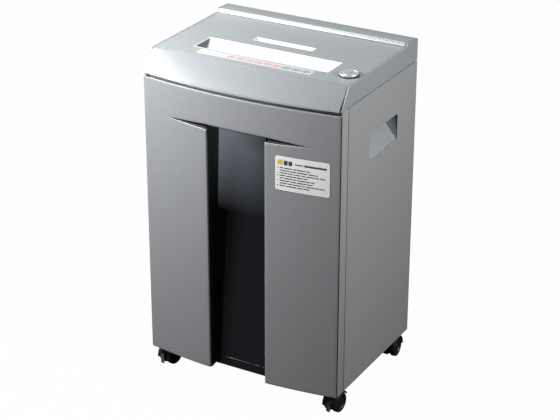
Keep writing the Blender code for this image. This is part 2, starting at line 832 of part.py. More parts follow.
def gear_outline(teeth, centre, phase):
    """Straight-flanked teeth on a pitch circle, thinned by the backlash. phase turns it by part of a tooth."""
    pitch_r = MODULE * teeth / 2
    tip, root = pitch_r + 0.78 * MODULE, pitch_r - 1.15 * MODULE
    thick = math.pi * MODULE / 2 - BACKLASH
    slope = math.tan(math.radians(23))
    points = []
    for i in range(teeth):
        middle = 2 * math.pi * (i + phase) / teeth
        for radius, hand in ((root, -1), (tip, -1), (tip, 1), (root, 1)):
            half = thick / 2 - (radius - pitch_r) * slope
            angle = middle + hand * half / radius
            points.append((centre[0] + radius * math.cos(angle), centre[1] + radius * math.sin(angle)))
    return points


def gear(name, teeth, back, phase, bore_r):
    centre = (depth(back), CUTTER_Z)
    high = -PLATE_IN - PLATE_T - GEAR_RUN
    outlines = [gear_outline(teeth, centre, phase)]
    if bore_r:
        outlines.append(arc(centre, bore_r, 0, 360 - 360 / 20, 19))
    return plate(name, outlines, "X", high - GEAR_T, high, GEAR_STEEL)


def motor_ends():
    """Where the motor starts, against the left cutter plate, and where it ends."""
    near = -PLATE_IN + GAP
    return near, near + MOTOR_LENGTH


def motor_pinion():
    """Pinion on the motor's shaft, with the rotor that turns inside the can."""
    back = motor_depth()
    centre = (depth(back), CUTTER_Z)
    near, far = motor_ends()
    pinion = gear("motor_pinion", PINION_TEETH, back, 0.5, 0)
    start = -PLATE_IN - PLATE_T - GEAR_RUN - GEAR_T
    shaft = rod("pinion_shaft", centre, PINION_SHAFT_R, start + 0.001, far - MOTOR_BELL - GAP, "X", 16)
    rotor = rod(
        "motor_rotor",
        centre,
        MOTOR_R - MOTOR_SHELL - ROTOR_AIR,
        near + MOTOR_BELL + ROTOR_AIR,
        far - MOTOR_BELL - ROTOR_AIR,
        "X",
        24,
    )
    return join(pinion, shaft, rotor)


def motor():
    """Motor can with its end bells, held against the left cutter plate."""
    near, far = motor_ends()
    bore = PINION_SHAFT_R + GAP
    inside = MOTOR_R - MOTOR_SHELL
    profile = [
        (0, far),
        (MOTOR_R * 0.6, far),
        (MOTOR_R * 0.85, far - 0.008),
        (MOTOR_R, far - 0.012),
        (MOTOR_R, near + 0.008),
        (MOTOR_R * 0.9, near),
        (bore, near),
        (bore, near + MOTOR_BELL),
        (inside, near + MOTOR_BELL),
        (inside, far - MOTOR_BELL),
        (0, far - MOTOR_BELL),
    ]
    return turned("motor", profile, (0, depth(motor_depth()), CUTTER_Z), steps=24, spec=STEEL)


def comb(name, shaft_back, offset, side, stand_off):
    """Stripper comb: a bar between the plates with a finger in each space between a shaft's discs."""
    pitch = SLOT_LENGTH / DISCS
    bar_near = shaft_back + side * (CUTTER_R + stand_off)
    bar_far = bar_near + side * COMB_BAR
    tip = shaft_back + side * (SPACER_R + 0.0008)
    tall = 0.006
    middle_z = CUTTER_Z if side < 0 else CUTTER_Z - 0.012
    low_y, high_y = sorted((depth(bar_near), depth(bar_far)))
    half = PLATE_IN - GAP
    bar = box(name, (-half, low_y, middle_z - tall), (half, high_y, middle_z + tall), STEEL)
    finger_y = sorted((depth(tip), depth(bar_near + side * 0.002)))
    if side > 0:
        finger_y[0] = depth(shaft_back + math.sqrt((SPACER_R + 0.0008) ** 2 - 0.008**2) + 0.001)
    fingers = []
    for i in range(DISCS - 1):
        x = -SLOT_LENGTH / 2 + (i + offset + 0.5) * pitch
        fingers.append(
            box(
                f"{name}_finger_{i}",
                (x - COMB_FINGER / 2, finger_y[0], middle_z - tall + 0.002),
                (x + COMB_FINGER / 2, finger_y[1], middle_z + tall - 0.002),
            )
        )
    return join(bar, *fingers)


def tie_bar(name, back):
    z = DECK_Z + 0.009
    half = PLATE_IN - GAP
    return rod(name, (depth(back), z), TIE_R, -half, half, "X", 16, STEEL)


# Electrics.


def control_board():
    low_x, high_x = PLATE_IN + PLATE_T + 0.0075, HALF - 0.0105
    near, far = depth(DEPTH - 0.138), depth(DEPTH - 0.038)
    deck = DECK_Z + DECK_T
    board_z = deck + 0.008
    board = box("control_board", (low_x, near, board_z), (high_x, far, board_z + 0.0016), BOARD)
    posts = []
    for i, x in enumerate((low_x + 0.006, high_x - 0.006)):
        for j, y in enumerate((near + 0.006, far - 0.006)):
            posts.append(rod(f"board_post_{i}{j}", (x, y), 0.003, deck + GAP, board_z + 0.001, "Z", 8))
    foot_z, tall_z = board_z + 0.001, board_z + 0.026
    relay = box(
        "board_relay",
        (low_x + 0.008, near + 0.015, foot_z),
        (low_x + 0.028, near + 0.045, board_z + 0.018),
    )
    transformer = box(
        "board_transformer",
        (low_x + 0.030, far - 0.045, foot_z),
        (high_x - 0.006, far - 0.012, tall_z),
    )
    capacitor = rod("board_capacitor", (high_x - 0.014, near + 0.028), 0.007, foot_z, tall_z, "Z", 12)
    return join(board, *posts, relay, transformer, capacitor)


def paper_sensor():
    """Optical switch on the front of the chute, under the funnel."""
    face = depth(SLOT_DEPTH) - SLOT_WIDTH / 2 - FUNNEL_WALL - GAP
    top = PLATE_Z - FUNNEL_DROP - FUNNEL_WALL - 0.003
    return box("paper_sensor", (-0.008, face - 0.009, CHUTE_BOTTOM_Z), (0.008, face, top), BLACK_PLASTIC)


def drawer_switch():
    """Reed switch on the front frame that stops the motor while the drawer is out."""
    back = FRAME_REAR + GAP
    low_z = SEAM_Z - FRAME_HEAD + 0.003
    low_x = PLATE_IN + 0.0265
    low = (low_x, depth(back), low_z)
    high = (low_x + 0.020, depth(back + 0.009), low_z + 0.014)
    return box("drawer_switch", low, high, BLACK_PLASTIC)


def cord_gland():
    """Strain-relief bush for the mains cord, set into the back panel."""
    panel = depth(DEPTH - BACK_INSET)
    neck = 0.008 - GAP
    profile = [
        (GLAND_BORE_R, panel + 0.0055),
        (0.009, panel + 0.0055),
        (0.011, panel + 0.0035),
        (0.011, panel + GAP),
        (neck, panel + GAP),
        (neck, panel - 0.008),
        (GLAND_BORE_R, panel - 0.008),
    ]
    return turned("cord_gland", profile, (GLAND_X, 0, GLAND_Z), axis="Y", steps=24, spec=BLACK_PLASTIC)


# Drawer.


def window_line(z):
    """Depth of the window's front face at a height."""
    share = (z - BASE_Z) / (BAND_Z - BASE_Z)
    return RECESS_FOOT_BACK + share * (RECESS_TOP_BACK - RECESS_FOOT_BACK)


def bowed_outline(inset, back, half):
    """Plan outline of the bowed front, set in by an inset."""
    steps = 16
    columns = [half * (2 * i / steps - 1) for i in range(steps + 1)]
    points = [(x, depth(inset - bow(x))) for x in columns]
    return points + [(half, depth(back)), (-half, depth(back))]


def groove(side):
    """Tapered finger groove under the band: nothing at its outer tip, deepest at the window."""
    inner, tip = RECESS_HALF - 0.004, GROOVE_TIP
    shape = bmesh.new()
    low = [(side * inner, BAND_Z - GROOVE_TALL), (side * inner, BAND_Z), (side * tip, BAND_Z + 0.0005)]
    rings = []
    for forward in (0.030, None):
        ring = []
        for (x, z), deep in zip(low, (GROOVE_DEEP, GROOVE_DEEP, 0.0008)):
            y = depth(-forward) if forward else depth(deep - bow(x))
            ring.append(shape.verts.new((x, y, z)))
        rings.append(ring)
    shape.faces.new(rings[0])
    shape.faces.new(reversed(rings[1]))
    for i in range(3):
        j = (i + 1) % 3
        shape.faces.new((rings[0][i], rings[1][i], rings[1][j], rings[0][j]))
    bmesh.ops.recalc_face_normals(shape, faces=shape.faces)
    return from_bmesh(f"groove_{'left' if side < 0 else 'right'}", shape)


def drawer_front():
    """Bowed front of the drawer: hollow behind, with a window recess open at its foot."""
    door = plate("drawer_front", [bowed_outline(0, DOOR_BACK, HALF)], "Z", BASE_Z, DOOR_TOP, GREY_PAINT)
    ribs = [
        (BASE_Z + POCKET_EDGE, RAIL_Z - RAIL_TALL / 2 - 0.004),
        (RAIL_Z + RAIL_TALL / 2 + 0.004, BAND_Z - BAND_RIB),
        (BAND_Z + POCKET_EDGE, DOOR_TOP - POCKET_EDGE),
    ]
    pocket_half = HALF - 0.028
    for i, (low, high) in enumerate(ribs):
        pocket = plate(
            f"door_pocket_{i}", [bowed_outline(DOOR_WALL, DOOR_BACK + 0.01, pocket_half)], "Z", low, high
        )
        cut(door, pocket)
    channel_half = RECESS_HALF + DOOR_WALL
    channel = plate("door_channel", [channel_section()], "X", -channel_half, channel_half)
    opening = box(
        "door_recess",
        (-RECESS_HALF, depth(-0.05), BASE_Z - 0.01),
        (RECESS_HALF, depth(0.05), BAND_Z),
    )
    return cut(join(door, channel), opening, groove(-1), groove(1))


def channel_section():
    """Side view of the recess: its rear edge leans back towards the top, where the window sits."""
    front = 0.001 - bow(RECESS_HALF)
    low, high = BASE_Z + 0.0005, BAND_Z + 0.0025
    return [
        (depth(front), low),
        (depth(window_line(low)), low),
        (depth(window_line(high)), high),
        (depth(front), high),
    ]


def bin_window():
    """Smoked panel behind the recess, leaning back towards the top."""
    low, high = BASE_Z + 0.0005, BAND_Z + 0.0025
    section = [
        (depth(window_line(low) + GAP), low),
        (depth(window_line(high) + GAP), high),
        (depth(window_line(high) + GAP + WINDOW_T), high),
        (depth(window_line(low) + GAP + WINDOW_T), low),
    ]
    half = RECESS_HALF + WINDOW_LAP
    return plate("bin_window", [section], "X", -half, half, SMOKED)


def runner(side, name):
    """Moving bar of a drawer slide: its outer tongue runs in the rail, its inner web carries the bin."""
    tongue_out = INSIDE - RAIL_T - RUNNER_PLAY
    tongue_in = INSIDE - RAIL_DEEP - 0.001
    web_in = BIN_HALF + BIN_PAD
    tongue = RAIL_TALL / 2 - RAIL_T - RUNNER_PLAY
    web = tongue - 0.006
    section = [
        (side * tongue_out, RAIL_Z - tongue),
        (side * tongue_out, RAIL_Z + tongue),
        (side * tongue_in, RAIL_Z + tongue),
        (side * tongue_in, RAIL_Z + web),
        (side * web_in, RAIL_Z + web),
        (side * web_in, RAIL_Z - web),
        (side * tongue_in, RAIL_Z - web),
        (side * tongue_in, RAIL_Z - tongue),
    ]
    near, far = depth(DOOR_BACK + GAP), depth(FRAME_REAR + RAIL_LENGTH - 0.002)
    return plate(name, [section], "Y", near, far, STEEL)


def waste_bin():
    """Open-topped bin, with a pad on each side that sits against its runner."""
    wall = BIN_WALL
    bin_body = box(
        "waste_bin", (-BIN_HALF, depth(BIN_FRONT), BIN_FOOT), (BIN_HALF, depth(BIN_REAR), BIN_TOP), DARK_BIN
    )
    pads = []
    for side in (-1, 1):
        low_x, high_x = sorted((side * (BIN_HALF - 0.001), side * (BIN_HALF + BIN_PAD - GAP)))
        pads.append(
            box(
                f"bin_pad_{'left' if side < 0 else 'right'}",
                (low_x, depth(BIN_FRONT + 0.020), RAIL_Z - 0.010),
                (high_x, depth(BIN_REAR - 0.020), RAIL_Z + 0.010),
            )
        )
    hollow = box(
        "bin_hollow",
        (-BIN_HALF + wall, depth(BIN_FRONT) + wall, BIN_FOOT + wall),
        (BIN_HALF - wall, depth(BIN_REAR) - wall, BIN_TOP + 0.05),
    )
    return cut(join(bin_body, *pads), hollow)


def disc_tray():
    """Catches the disc pieces apart from the paper. Its rim hangs on the bin's sides."""
    half = BIN_HALF - BIN_WALL - 0.001
    wall = TRAY_WALL
    rim_z = BIN_TOP + GAP
    tray = box(
        "disc_tray",
        (-half, depth(TRAY_FRONT), rim_z + wall - TRAY_TALL),
        (half, depth(TRAY_REAR), rim_z + wall),
        DARK_BIN,
    )
    rim = box(
        "tray_rim",
        (-BIN_HALF, depth(TRAY_FRONT + 0.004), rim_z),
        (BIN_HALF, depth(TRAY_REAR - 0.004), rim_z + wall - 0.0001),
    )
    hollow = box(
        "tray_hollow",
        (-half + wall, depth(TRAY_FRONT) + wall, rim_z + 2 * wall - TRAY_TALL),
        (half - wall, depth(TRAY_REAR) - wall, rim_z + 0.05),
    )
    return cut(join(tray, rim), hollow)


# Casters.


def caster_frame(x, y, heading):
    """Places a caster that is modelled with its stem on the Z axis and its wheels towards -Y."""
    return Matrix.Translation((x, y, 0)) @ Matrix.Rotation(math.radians(heading), 4, "Z")


def hood_outline():
    """Side view of the hood's shell, in Y and Z: an arc over the front and top of the wheels."""
    centre = (-TRAIL, WHEEL_Z)
    front, back = 180 - HOOD_FRONT_ANGLE, 180 - HOOD_BACK_ANGLE
    outer = arc(centre, HOOD_OUT, front, back, 10)
    inner = arc(centre, HOOD_IN, back, front, 10)
    return outer + inner


def caster_hood(tag, braked):
    """Hood with its web, stem and, on a braked caster, the ears that the lever swings in."""
    name = "caster_hood_" + tag
    hood = plate(name, [hood_outline()], "X", -HOOD_HALF, HOOD_HALF, BLACK_PLASTIC)
    centre = (-TRAIL, WHEEL_Z)
    foot = [(-TRAIL + 0.006, WHEEL_Z - 0.009), (-TRAIL - 0.008, WHEEL_Z - 0.009)]
    web_outline = arc(centre, HOOD_IN + 0.0008, 170, 35, 7) + foot
    web = plate(name + "_web", [web_outline], "X", -WEB_T / 2, WEB_T / 2)
    collar = rod(name + "_collar", (0, 0), 0.009, WHEEL_Z + 0.014, BASE_Z - GAP, "Z", 14)
    stem = rod(name + "_stem", (0, 0), STEM_R, BASE_Z - 0.002, BASE_Z + STEM_UP, "Z", 14)
    clear = []
    for side in (-1, 1):
        low_x, high_x = sorted((side * WEB_T / 2, side * (HOOD_HALF + 0.01)))
        clear.append(rod(f"{name}_well_{side}", centre, HOOD_IN, low_x, high_x, "X", 28))
    bore = rod(name + "_bore", centre, AXLE_R + GAP, -0.02, 0.02, "X", 12)
    join(hood, web, collar)
    cut(hood, *clear)
    join(hood, stem)
    if braked:
        pivot = lever_pivot()
        for side in (-1, 1):
            low_x, high_x = sorted((side * (LEVER_HALF + GAP), side * (LEVER_HALF + GAP + EAR_T)))
            join(hood, plate(f"{name}_ear_{side}", [ear_outline(pivot)], "X", low_x, high_x))
    return cut(hood, bore)


def lever_pivot():
    """Where the brake lever's pivot lies in Y and Z: just clear of the hood's front."""
    rise = LEVER_Z - WHEEL_Z
    reach = HOOD_OUT + GAP + LEVER_R + 0.0002
    return (-TRAIL - math.sqrt(reach**2 - rise**2), LEVER_Z)


def ear_outline(pivot):
    """An ear from the middle of the hood's shell out to the far side of the lever's barrel."""
    y, z = pivot
    middle = 180 - math.degrees(math.atan2(z - WHEEL_Z, -TRAIL - y))
    root = arc((-TRAIL, WHEEL_Z), (HOOD_IN + HOOD_OUT) / 2, middle - 9, middle + 9, 2)
    return [*root, (y - LEVER_R, z - LEVER_R), (y - LEVER_R, z + LEVER_R)]


def brake_lever(tag):
    """Brake tab: a barrel between the hood's ears and a plate that hangs in front of the wheels."""
    name = "brake_lever_" + tag
    y, z = lever_pivot()
    lever = rod(name, (y, z), LEVER_R, -LEVER_HALF, LEVER_HALF, "X", 12, HEAD_PLASTIC)
    tab = box(
        name + "_tab",
        (-LEVER_HALF, y - LEVER_R, z - LEVER_DROP),
        (LEVER_HALF, y - LEVER_R + LEVER_T, z),
    )
    return join(lever, tab)


def caster_axle(tag):
    half = WEB_T / 2 + WHEEL_PLAY + WHEEL_T - 0.0035
    return rod("caster_axle_" + tag, (-TRAIL, WHEEL_Z), AXLE_R, -half, half, "X", 12, STEEL)


def caster_wheel(tag, side):
    """Wheel with a dished outer face and a blind bore from the inside."""
    near = WEB_T / 2 + WHEEL_PLAY
    far = near + WHEEL_T
    bore = AXLE_R + GAP
    profile = [
        (0, far - 0.0015),
        (WHEEL_R * 0.58, far - 0.0005),
        (WHEEL_R - 0.0025, far),
        (WHEEL_R, far - 0.0015),
        (WHEEL_R, near),
        (bore, near),
        (bore, far - 0.0030),
        (0, far - 0.0030),
    ]
    if side < 0:
        profile = [(radius, -along) for radius, along in reversed(profile)]
    name = f"caster_wheel_{tag}_{'inner' if side * (1 if 'right' in tag else -1) < 0 else 'outer'}"
    half_step = math.pi / WHEEL_STEPS
    return turned(name, profile, (0, -TRAIL, WHEEL_Z), steps=WHEEL_STEPS, phase=half_step, spec=TREAD)


def casters():
    headings = {"front_left": -7, "front_right": -3, "rear_left": 176, "rear_right": 183}
    for (x, y), (tag, heading) in zip(stems(), headings.items()):
        braked = tag.startswith("front")
        before = set(bpy.data.objects)
        caster_hood(tag, braked)
        caster_axle(tag)
        caster_wheel(tag, -1)
        caster_wheel(tag, 1)
        if braked:
            brake_lever(tag)
        frame = caster_frame(x, y, heading)
        for obj in set(bpy.data.objects) - before:
            obj.matrix_world = frame @ obj.matrix_world


def build():
    clear_scene()
    for side, hand in ((-1, "left"), (1, "right")):
        side_panel(side, f"{hand}_side_panel")
        grip_cup(side, f"{hand}_grip_cup")
        rail(side, f"{hand}_rail")
        runner(side, f"{hand}_runner")
        head_cheek(side, f"{hand}_head_cheek")
        cutter_plate(side, f"{hand}_cutter_plate")
    back_panel()
    base_pan()
    front_frame()
    mech_deck()
    top_cover()
    head_fascia()
    ledge_trim()
    feed_throat()
    disc_chute()
    control_knob()
    rotary_switch()
    front_back, rear_back = cutter_depths()
    cutter_shaft("cutter_shaft_front", depth(front_back), 0.25, TOOL_STEEL)
    cutter_shaft("cutter_shaft_rear", depth(rear_back), 0.75, TOOL_STEEL)
    comb("comb_front", front_back, 0.25, -1, COMB_OFF)
    comb("comb_rear", rear_back, 0.75, 1, COMB_OFF + DISC_WIDTH + 0.001)
    tie_bar("tie_bar_front", FRAME_REAR + 0.007)
    tie_bar("tie_bar_rear", PLATE_REAR - 0.008)
    gear("sync_gear_front", CUTTER_TEETH, front_back, 0.5, JOURNAL_R + GAP)
    gear("sync_gear_rear", CUTTER_TEETH, rear_back, 0, JOURNAL_R + GAP)
    gear("idler_gear", IDLER_TEETH, idler_depth(), 0, IDLER_PIN_R + GAP)
    motor_pinion()
    motor()
    control_board()
    paper_sensor()
    drawer_switch()
    cord_gland()
    drawer_front()
    bin_window()
    waste_bin()
    disc_tray()
    casters()


build()
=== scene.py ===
# %% [markdown]
# # An office paper shredder, from the frame to the finish
#
# The frame is a plain working model: sixty simple solids in their real places, each on the body that it
# moves with. This lesson gives it its looks. A frame solid that already has the right shape keeps its place
# and gets a better material. The others are hidden, and a finer piece stands in the same space.

# %% Load the frame
import math

import bmesh
import bpy
from mathutils import Matrix, Vector


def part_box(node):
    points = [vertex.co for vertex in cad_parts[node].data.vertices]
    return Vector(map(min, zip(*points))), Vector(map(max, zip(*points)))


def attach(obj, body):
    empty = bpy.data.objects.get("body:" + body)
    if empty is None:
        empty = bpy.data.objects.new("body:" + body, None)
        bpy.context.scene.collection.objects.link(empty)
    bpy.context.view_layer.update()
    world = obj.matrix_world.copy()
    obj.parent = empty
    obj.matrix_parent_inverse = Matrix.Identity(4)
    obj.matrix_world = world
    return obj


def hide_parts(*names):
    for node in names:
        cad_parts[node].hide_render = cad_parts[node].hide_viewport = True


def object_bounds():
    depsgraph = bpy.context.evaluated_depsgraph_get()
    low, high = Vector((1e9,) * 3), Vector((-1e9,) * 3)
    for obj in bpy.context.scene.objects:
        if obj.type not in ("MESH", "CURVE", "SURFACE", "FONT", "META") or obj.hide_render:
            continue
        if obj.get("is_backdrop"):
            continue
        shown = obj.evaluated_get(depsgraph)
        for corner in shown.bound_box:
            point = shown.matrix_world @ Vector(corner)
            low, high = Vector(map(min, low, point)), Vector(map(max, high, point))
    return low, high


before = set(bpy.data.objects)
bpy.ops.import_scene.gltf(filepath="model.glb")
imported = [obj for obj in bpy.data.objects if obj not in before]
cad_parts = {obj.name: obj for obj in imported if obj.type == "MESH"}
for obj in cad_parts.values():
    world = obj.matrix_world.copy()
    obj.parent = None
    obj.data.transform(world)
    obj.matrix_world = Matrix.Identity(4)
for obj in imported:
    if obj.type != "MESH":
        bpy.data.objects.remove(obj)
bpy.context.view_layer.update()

# %% [markdown]
# The main sizes are read from the frame's own boxes, so a piece can't drift away from the solid that it
# stands for. Three planes matter most: the front plane of the cabinet, from which depths are measured,
# the flat top plate, and the seam where the head sits on the cabinet.

# %% Read the main sizes
CHEEK_LOW, CHEEK_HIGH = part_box("right_head_cheek")
DOOR_LOW, DOOR_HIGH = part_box("drawer_front")
WINDOW_LOW, WINDOW_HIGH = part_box("bin_window")
THROAT_LOW, THROAT_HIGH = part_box("feed_throat")

FRONT = CHEEK_LOW.y
REAR = CHEEK_HIGH.y
HALF = DOOR_HIGH.x
BASE_Z = DOOR_LOW.z
SEAM_Z = CHEEK_LOW.z
PLATE_Z = THROAT_HIGH.z
BOW = FRONT - DOOR_LOW.y
RECESS_HALF = WINDOW_HIGH.x - 0.006
BAND_Z = WINDOW_HIGH.z - 0.0025


def depth(value):
    """A distance behind the cabinet's front plane, as a Y coordinate."""
    return FRONT + value


def bow(x):
    """How far the bowed front stands ahead of the front plane at x."""
    return BOW * (1 - (x / HALF) ** 2)


print(f"body {2 * HALF * 1000:.0f} mm wide, {(REAR - FRONT) * 1000:.0f} mm deep behind its front plane")

# %% [markdown]
# ## The picture
#
# The camera stands to the right of the machine and above it, with a long lens, so upright edges stay
# almost parallel. Its place, its turn, its tilt and a very small roll are all that it needs.

# %% Camera
def add_object(name, data):
    """A new object in the scene, for a camera, a light or a mesh."""
    thing = bpy.data.objects.new(name, data)
    bpy.context.scene.collection.objects.link(thing)
    return thing


CAMERA_PLACE = Vector((1.4606, -2.5946, 1.7300))
CAMERA_TURN = math.radians(29.32)
CAMERA_TILT = math.radians(90 - 25.17)
CAMERA_ROLL = math.radians(0.12)

lens = bpy.data.cameras.new("camera")
lens.lens = 111.6
lens.sensor_width = 36
camera = add_object("camera", lens)
camera.rotation_mode = "QUATERNION"
camera.location = CAMERA_PLACE
camera.rotation_quaternion = (
    Matrix.Rotation(CAMERA_TURN, 3, "Z")
    @ Matrix.Rotation(CAMERA_TILT, 3, "X")
    @ Matrix.Rotation(CAMERA_ROLL, 3, "Z")
).to_quaternion()
bpy.context.scene.camera = camera
print(f"camera {CAMERA_PLACE.length:.2f} m from the middle of the floor, {lens.lens} mm lens")

# %% [markdown]
# Colours are written as the hex values that a paint chart gives. Shaders reckon in linear light, so one
# function turns them into the numbers that a shader wants.

# %% Colour
def colour(hex_value):
    """An sRGB hex colour as linear red, green, blue and alpha."""
    parts = [int(hex_value[i : i + 2], 16) / 255 for i in (1, 3, 5)]
    linear = [c / 12.92 if c <= 0.04045 else ((c + 0.055) / 1.055) ** 2.4 for c in parts]
    return (*linear, 1.0)


print("mid grey in linear light:", [round(value, 3) for value in colour("#808080")[:3]])

# %% [markdown]
# A second function adds a node with its settings and its links, so a material reads as a short list of
# what it is made of. Noise is placed in metres on the object, so a grain of one millimetre stays one
# millimetre on every piece.

# %% Nodes and materials
def add_node(tree, kind, inputs=None, **settings):
    """Adds a node. Its inputs are numbers, colours, or the output of another node."""
    node = tree.nodes.new(kind)
    for name, value in settings.items():
        setattr(node, name, value)
    for name, value in (inputs or {}).items():
        if isinstance(value, bpy.types.NodeSocket):
            tree.links.new(value, node.inputs[name])
        else:
            node.inputs[name].default_value = value
    return node


def new_finish(name, base, roughness, metallic=0.0, **settings):
    """A material with a Principled shader. What is the same all over is set on the shader itself."""
    material = bpy.data.materials.new(name)
    material.use_nodes = True
    shader = material.node_tree.nodes["Principled BSDF"]
    values = {"Base Color": colour(base), "Roughness": roughness, "Metallic": metallic, **settings}
    for socket, value in values.items():
        shader.inputs[socket].default_value = value
    return material, material.node_tree, shader


def per_metre(millimetres):
    """The noise scale whose cells are that many millimetres across."""
    return 1000.0 / millimetres


def place_of(tree):
    """The point on the object that is being shaded, in metres."""
    return add_node(tree, "ShaderNodeTexCoord").outputs["Object"]


def mottle(tree, shader, socket, cell_mm, low, high, detail=3.0):
    """Lets noise swing one input of the shader between two colours or two numbers."""
    noise = add_node(
        tree,
        "ShaderNodeTexNoise",
        {"Vector": place_of(tree), "Scale": per_metre(cell_mm), "Detail": detail},
    )
    if isinstance(low, str):
        ramp = add_node(tree, "ShaderNodeValToRGB", {"Fac": noise.outputs["Fac"]})
        for stop, place, value in zip(ramp.color_ramp.elements, (0.3, 0.7), (low, high)):
            stop.position = place
            stop.color = colour(value)
        tree.links.new(ramp.outputs["Color"], shader.inputs[socket])
    else:
        swing = {"From Min": 0.3, "From Max": 0.7, "To Min": low, "To Max": high}
        spread = add_node(tree, "ShaderNodeMapRange", {"Value": noise.outputs["Fac"], **swing})
        tree.links.new(spread.outputs["Result"], shader.inputs[socket])


print("noise with cells of 1 mm has the scale", per_metre(1))

# %% [markdown]
# ## Finishes
#
# The cabinet is sprayed with a silver-grey metallic enamel. The paint holds tiny aluminium flakes, so it
# is part metal to the eye, and a sprayed film dries with a faint orange-peel ripple. Real flakes are a
# tenth of a millimetre and can't be seen from here, so they are drawn as soft spots of about one
# millimetre. The same paint goes over steel and over moulded plastic, where it lies a little smoother.
# Each moulding is sprayed on its own, so the silver differs by a shade from one to the next: the head is
# cooler than the drawer front. The fascia faces the light almost squarely, so its copy of the paint is
# given a darker colour as painted shade.

# %% Silver enamel on steel and on the moulded front
FLAKE_MM, PEEL_MM, PEEL_HEIGHT = 1.1, 3.0, 0.0002


def metallic_paint(name, dark, light, roughness, metal, peel):
    """Sprayed silver paint: flakes in the colour, orange peel in the bump."""
    finish, tree, shader = new_finish(name, dark, roughness, metallic=metal)
    flakes = add_node(
        tree,
        "ShaderNodeTexVoronoi",
        {"Vector": place_of(tree), "Scale": per_metre(FLAKE_MM), "Randomness": 1.0},
        feature="F1",
    )
    tint = add_node(tree, "ShaderNodeValToRGB", {"Fac": flakes.outputs["Distance"]})
    tint.color_ramp.elements[0].color = colour(light)
    tint.color_ramp.elements[1].color = colour(dark)
    tree.links.new(tint.outputs["Color"], shader.inputs["Base Color"])
    ripple = add_node(
        tree, "ShaderNodeTexNoise", {"Vector": place_of(tree), "Scale": per_metre(PEEL_MM), "Detail": 2.0}
    )
    bump = add_node(
        tree,
        "ShaderNodeBump",
        {"Height": ripple.outputs["Fac"], "Strength": peel, "Distance": PEEL_HEIGHT},
    )
    tree.links.new(bump.outputs["Normal"], shader.inputs["Normal"])
    return finish


STEEL_PAINT = metallic_paint("silver_enamel_on_steel", "#9c9ea0", "#aaacae", 0.46, 0.25, 0.25)
DOOR_PAINT = metallic_paint("silver_paint_on_abs", "#96989b", "#a4a6a9", 0.46, 0.25, 0.15)
HEAD_PAINT = metallic_paint("light_silver_paint_on_abs", "#92979a", "#a0a5a7", 0.46, 0.2, 0.15)
# The fascia's paint is darker as painted shade, because the fascia faces the light squarely.
SHADED_FASCIA_PAINT = metallic_paint("shade_darkened_silver_paint_on_abs", "#7a7f82", "#878c8f", 0.50, 0.3, 0.15)
print("paints:", STEEL_PAINT.name, DOOR_PAINT.name, HEAD_PAINT.name)

# %% [markdown]
# Moulded plastics come next. ABS takes the grain of its mould: the black parts are spark-eroded to a fine
# matt texture, and the white paper inlet is nearly smooth, so that sheets slide. Polypropylene, which the
# bin is made of, is waxier and shows faint flow marks. The wheels are nylon, which wears smooth and shines
# a little. The real grain is a tenth of a millimetre or less and would not show, so it is drawn about ten
# times as coarse. A gloss that wanders over a few centimetres is what a large moulding has from its flow.

# %% Moulded plastics
FLOW_MM = 30


def moulded(name, base, roughness, grain_mm, height_mm, swing=0.06):
    """Plain moulded plastic with the grain of its mould."""
    finish, tree, shader = new_finish(name, base, roughness)
    shader.inputs["IOR"].default_value = 1.5
    mottle(tree, shader, "Roughness", FLOW_MM, roughness - swing, roughness + swing)
    grain = add_node(
        tree,
        "ShaderNodeTexNoise",
        {"Vector": place_of(tree), "Scale": per_metre(grain_mm), "Detail": 4.0, "Roughness": 0.6},
    )
    bump = add_node(
        tree,
        "ShaderNodeBump",
        {"Height": grain.outputs["Fac"], "Strength": 0.6, "Distance": height_mm / 1000},
    )
    tree.links.new(bump.outputs["Normal"], shader.inputs["Normal"])
    return finish


WHITE_ABS = moulded("white_abs", "#d4d6d7", 0.36, 2.0, 0.02)
BLACK_ABS = moulded("black_textured_abs", "#1b1c1e", 0.48, 0.9, 0.08)
GREY_ABS = moulded("grey_abs", "#8e9496", 0.42, 1.2, 0.04)
GREY_SHADE = moulded("dark_grey_abs", "#55585b", 0.5, 1.2, 0.04)
BIN_POLYPROPYLENE = moulded("dark_polypropylene", "#26282b", 0.52, 5.0, 0.06, swing=0.08)
WHEEL_NYLON = moulded("black_nylon", "#17181a", 0.40, 1.5, 0.04)
print("plastics:", WHITE_ABS.name, BLACK_ABS.name, GREY_ABS.name, BIN_POLYPROPYLENE.name, WHEEL_NYLON.name)

# %% [markdown]
# The bin window is smoked acrylic: a clear, hard plastic dyed grey-blue. It is glossy, lets a little
# light through, and hides the shreds until someone stands close. It leans back, so its upper part would
# mirror a bright room and its foot the floor. That is painted: the colour runs from dark at the foot to
# lighter at the top as a painted reflection, and a faint glow, strongest at the upper left, is a painted
# reflection of that room, because this set has a dark floor and no walls.

# %% Smoked acrylic
SMOKED_ACRYLIC, tree, shader = new_finish("smoked_acrylic", "#2a2d33", 0.12)
shader.inputs["IOR"].default_value = 1.49
shader.inputs["Transmission Weight"].default_value = 0.15
mottle(tree, shader, "Roughness", 60, 0.10, 0.18)
SHEEN_TALL = 0.18
point = add_node(tree, "ShaderNodeSeparateXYZ", {"Vector": place_of(tree)})
rise = add_node(
    tree,
    "ShaderNodeMapRange",
    {"Value": point.outputs["Z"], "From Min": BAND_Z - SHEEN_TALL, "From Max": BAND_Z},
)
# Painted reflection: the colour is dark at the foot and lighter towards the top.
painted_reflection_ramp = add_node(tree, "ShaderNodeValToRGB", {"Fac": rise.outputs["Result"]})
for stop, place, value in zip(painted_reflection_ramp.color_ramp.elements, (0.0, 1.0), ("#17191d", "#3d4147")):
    stop.position = place
    stop.color = colour(value)
tree.links.new(painted_reflection_ramp.outputs["Color"], shader.inputs["Base Color"])
